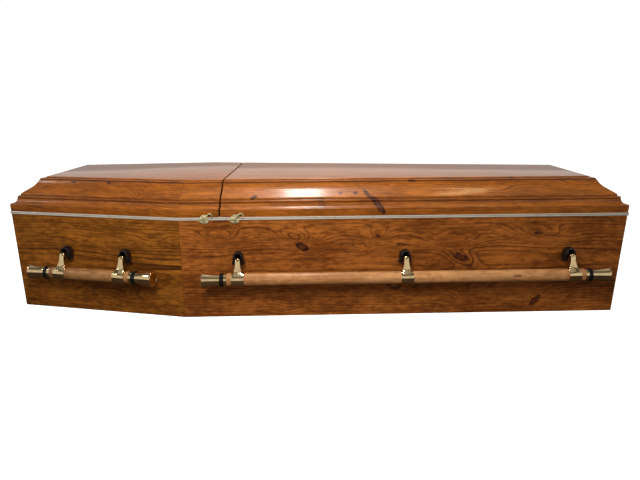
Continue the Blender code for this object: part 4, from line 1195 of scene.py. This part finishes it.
def buildCatches():
    along = alongSide(rightFoot)
    middle = moulding["splitFromShoulder"] / along.x + catch["shift"]
    trimLow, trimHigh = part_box("edging_strip")
    height = (trimLow.z + trimHigh.z) / 2
    for node, offset in (("head_lid_catch", -catch["spacing"] / 2), ("foot_lid_catch", catch["spacing"] / 2)):
        place = corners[rightFoot] + along * (middle + offset)
        turn = Matrix.Rotation(sideTurn(rightFoot) + math.pi, 4, "Z")
        addPiece(node.replace("_lid", "_leaf"), catchMesh(), [paleBrass, paintedGapShade], "case",
                 node, Matrix.Translation((place.x, place.y, height)) @ turn)
    print("catches built")


buildCatches()

# Floor, light and camera
studio = {
    "floorSize": 30.0,
    "floorSeen": (0.95, 0.95, 0.945, 1),
    "floorBounce": (0.055, 0.04, 0.03, 1),
    "floorGlow": 0.95,
    "backdrop": 1.0,
    "roomDark": 0.10,
    "roomBright": 0.72,
    "roomColour": (1.0, 0.955, 0.89, 1),
    "bandRise": (0.0, 0.07),
    "bandFall": (0.46, 0.76),
    "ceiling": (0.84, 0.94),
    "ceilingGlow": 0.3,
}
# where each lamp hangs, what it points at, its size, power and colour
lamps = {
    "overhead": {"place": (0.0, 0.0, 1.45), "target": (0.0, -0.1, 0.4), "size": (0.20, 0.55),
                 "power": 12.6, "colour": (1.0, 0.98, 0.96)},
    "warmOverhead": {"place": (0.85, 0.0, 1.45), "target": (0.7, -0.1, 0.4), "size": (0.07, 0.30),
                     "power": 1.1, "colour": (1.0, 0.72, 0.36)},
    "left": {"place": (-1.96, -0.67, 1.39), "target": (-0.93, -0.24, 0.38), "size": (0.22, 0.22),
             "power": 2.0, "colour": (1.0, 0.96, 0.88)},
    "front": {"place": (-0.22, -1.42, 1.15), "target": (-0.08, -0.32, 0.18), "size": (0.55, 0.55),
              "power": 20.5, "colour": (1.0, 0.97, 0.93), "mirrored": False},
}
view = {
    "place": (0.0178, -1.8046, 0.6881),
    "yaw": -2.456,
    "pitch": 15.909,
    "roll": -0.366,
    "lens": 27.89,
    "shiftX": 0.0358,
}


def addLamp(name, look):
    light = bpy.data.lights.new(name, "AREA")
    light.shape = "RECTANGLE"
    light.size, light.size_y = look["size"]
    light.energy, light.color = look["power"], look["colour"]
    lamp = newObject(name, light)
    lamp.visible_glossy = look.get("mirrored", True)
    lamp.location = look["place"]
    lamp.rotation_euler = (Vector(look["target"]) - Vector(look["place"])).to_track_quat("-Z", "Y").to_euler()


def buildFloor():
    # pale where it is seen, and dim in what it throws on the coffin
    shape = bmesh.new()
    bmesh.ops.create_grid(shape, x_segments=1, y_segments=1, size=studio["floorSize"] / 2)
    floor = newObject("floor", meshOf(shape, "floor"))
    material = bpy.data.materials.new("floor")
    material.use_nodes = True
    tree = material.node_tree
    seen = addNode(tree, "ShaderNodeLightPath", {}).outputs["Is Camera Ray"]
    setInputs(tree, tree.nodes["Principled BSDF"], {
        "Base Color": mixed(tree, seen, studio["floorBounce"], studio["floorSeen"]),
        "Emission Strength": calc(tree, "MULTIPLY", seen, studio["floorGlow"]),
        "Emission Color": studio["floorSeen"], "Roughness": 0.9, "Specular IOR Level": 0.0})
    floor.data.materials.append(material)


def buildWorld():
    # a white backdrop, and a room that is bright in a band above the horizon and mirrors a bright ceiling
    world = bpy.data.worlds.new("studio")
    world.use_nodes = True
    tree = world.node_tree
    facing = addNode(tree, "ShaderNodeTexCoord", {}).outputs["Generated"]
    height = partsOf(tree, facing)["Z"]
    rise = ramped(tree, height, *studio["bandRise"])
    band = calc(tree, "MULTIPLY", rise, ramped(tree, height, *studio["bandFall"], 1.0, 0.0))
    path = addNode(tree, "ShaderNodeLightPath", {}).outputs
    ceiling = calc(tree, "MULTIPLY", path["Is Glossy Ray"], ramped(tree, height, *studio["ceiling"], 0.0,
                                                                   studio["ceilingGlow"]))
    light = calc(tree, "MULTIPLY_ADD", band, studio["roomBright"] - studio["roomDark"], studio["roomDark"])
    room = addNode(tree, "ShaderNodeBackground", {"Color": studio["roomColour"],
                                                  "Strength": calc(tree, "ADD", light, ceiling)})
    backdrop = tree.nodes["Background"]
    setInputs(tree, backdrop, {"Color": (1, 1, 1, 1), "Strength": studio["backdrop"]})
    either = addNode(tree, "ShaderNodeMixShader", {0: path["Is Camera Ray"], 1: room.outputs[0],
                                                   2: backdrop.outputs[0]})
    tree.links.new(either.outputs[0], tree.nodes["World Output"].inputs["Surface"])
    bpy.context.scene.world = world


def buildStudio():
    buildFloor()
    buildWorld()
    for name, look in lamps.items():
        addLamp(name, look)
    bpy.context.scene.view_settings.view_transform = "Standard"
    print("studio set")


def buildCamera():
    yaw, pitch, roll = (math.radians(view[name]) for name in ("yaw", "pitch", "roll"))
    forward = Vector((math.sin(yaw) * math.cos(pitch), math.cos(yaw) * math.cos(pitch), -math.sin(pitch)))
    level = Vector((math.cos(yaw), -math.sin(yaw), 0.0))
    right = math.cos(roll) * level + math.sin(roll) * level.cross(forward)
    turned = Matrix((right, right.cross(forward), -forward)).transposed().to_4x4()
    turned.translation = Vector(view["place"])
    data = bpy.data.cameras.new("camera")
    data.lens = view["lens"]
    data.shift_x = view["shiftX"]
    camera = newObject("camera", data)
    camera.matrix_world = turned
    bpy.context.scene.camera = camera


buildStudio()
buildCamera()
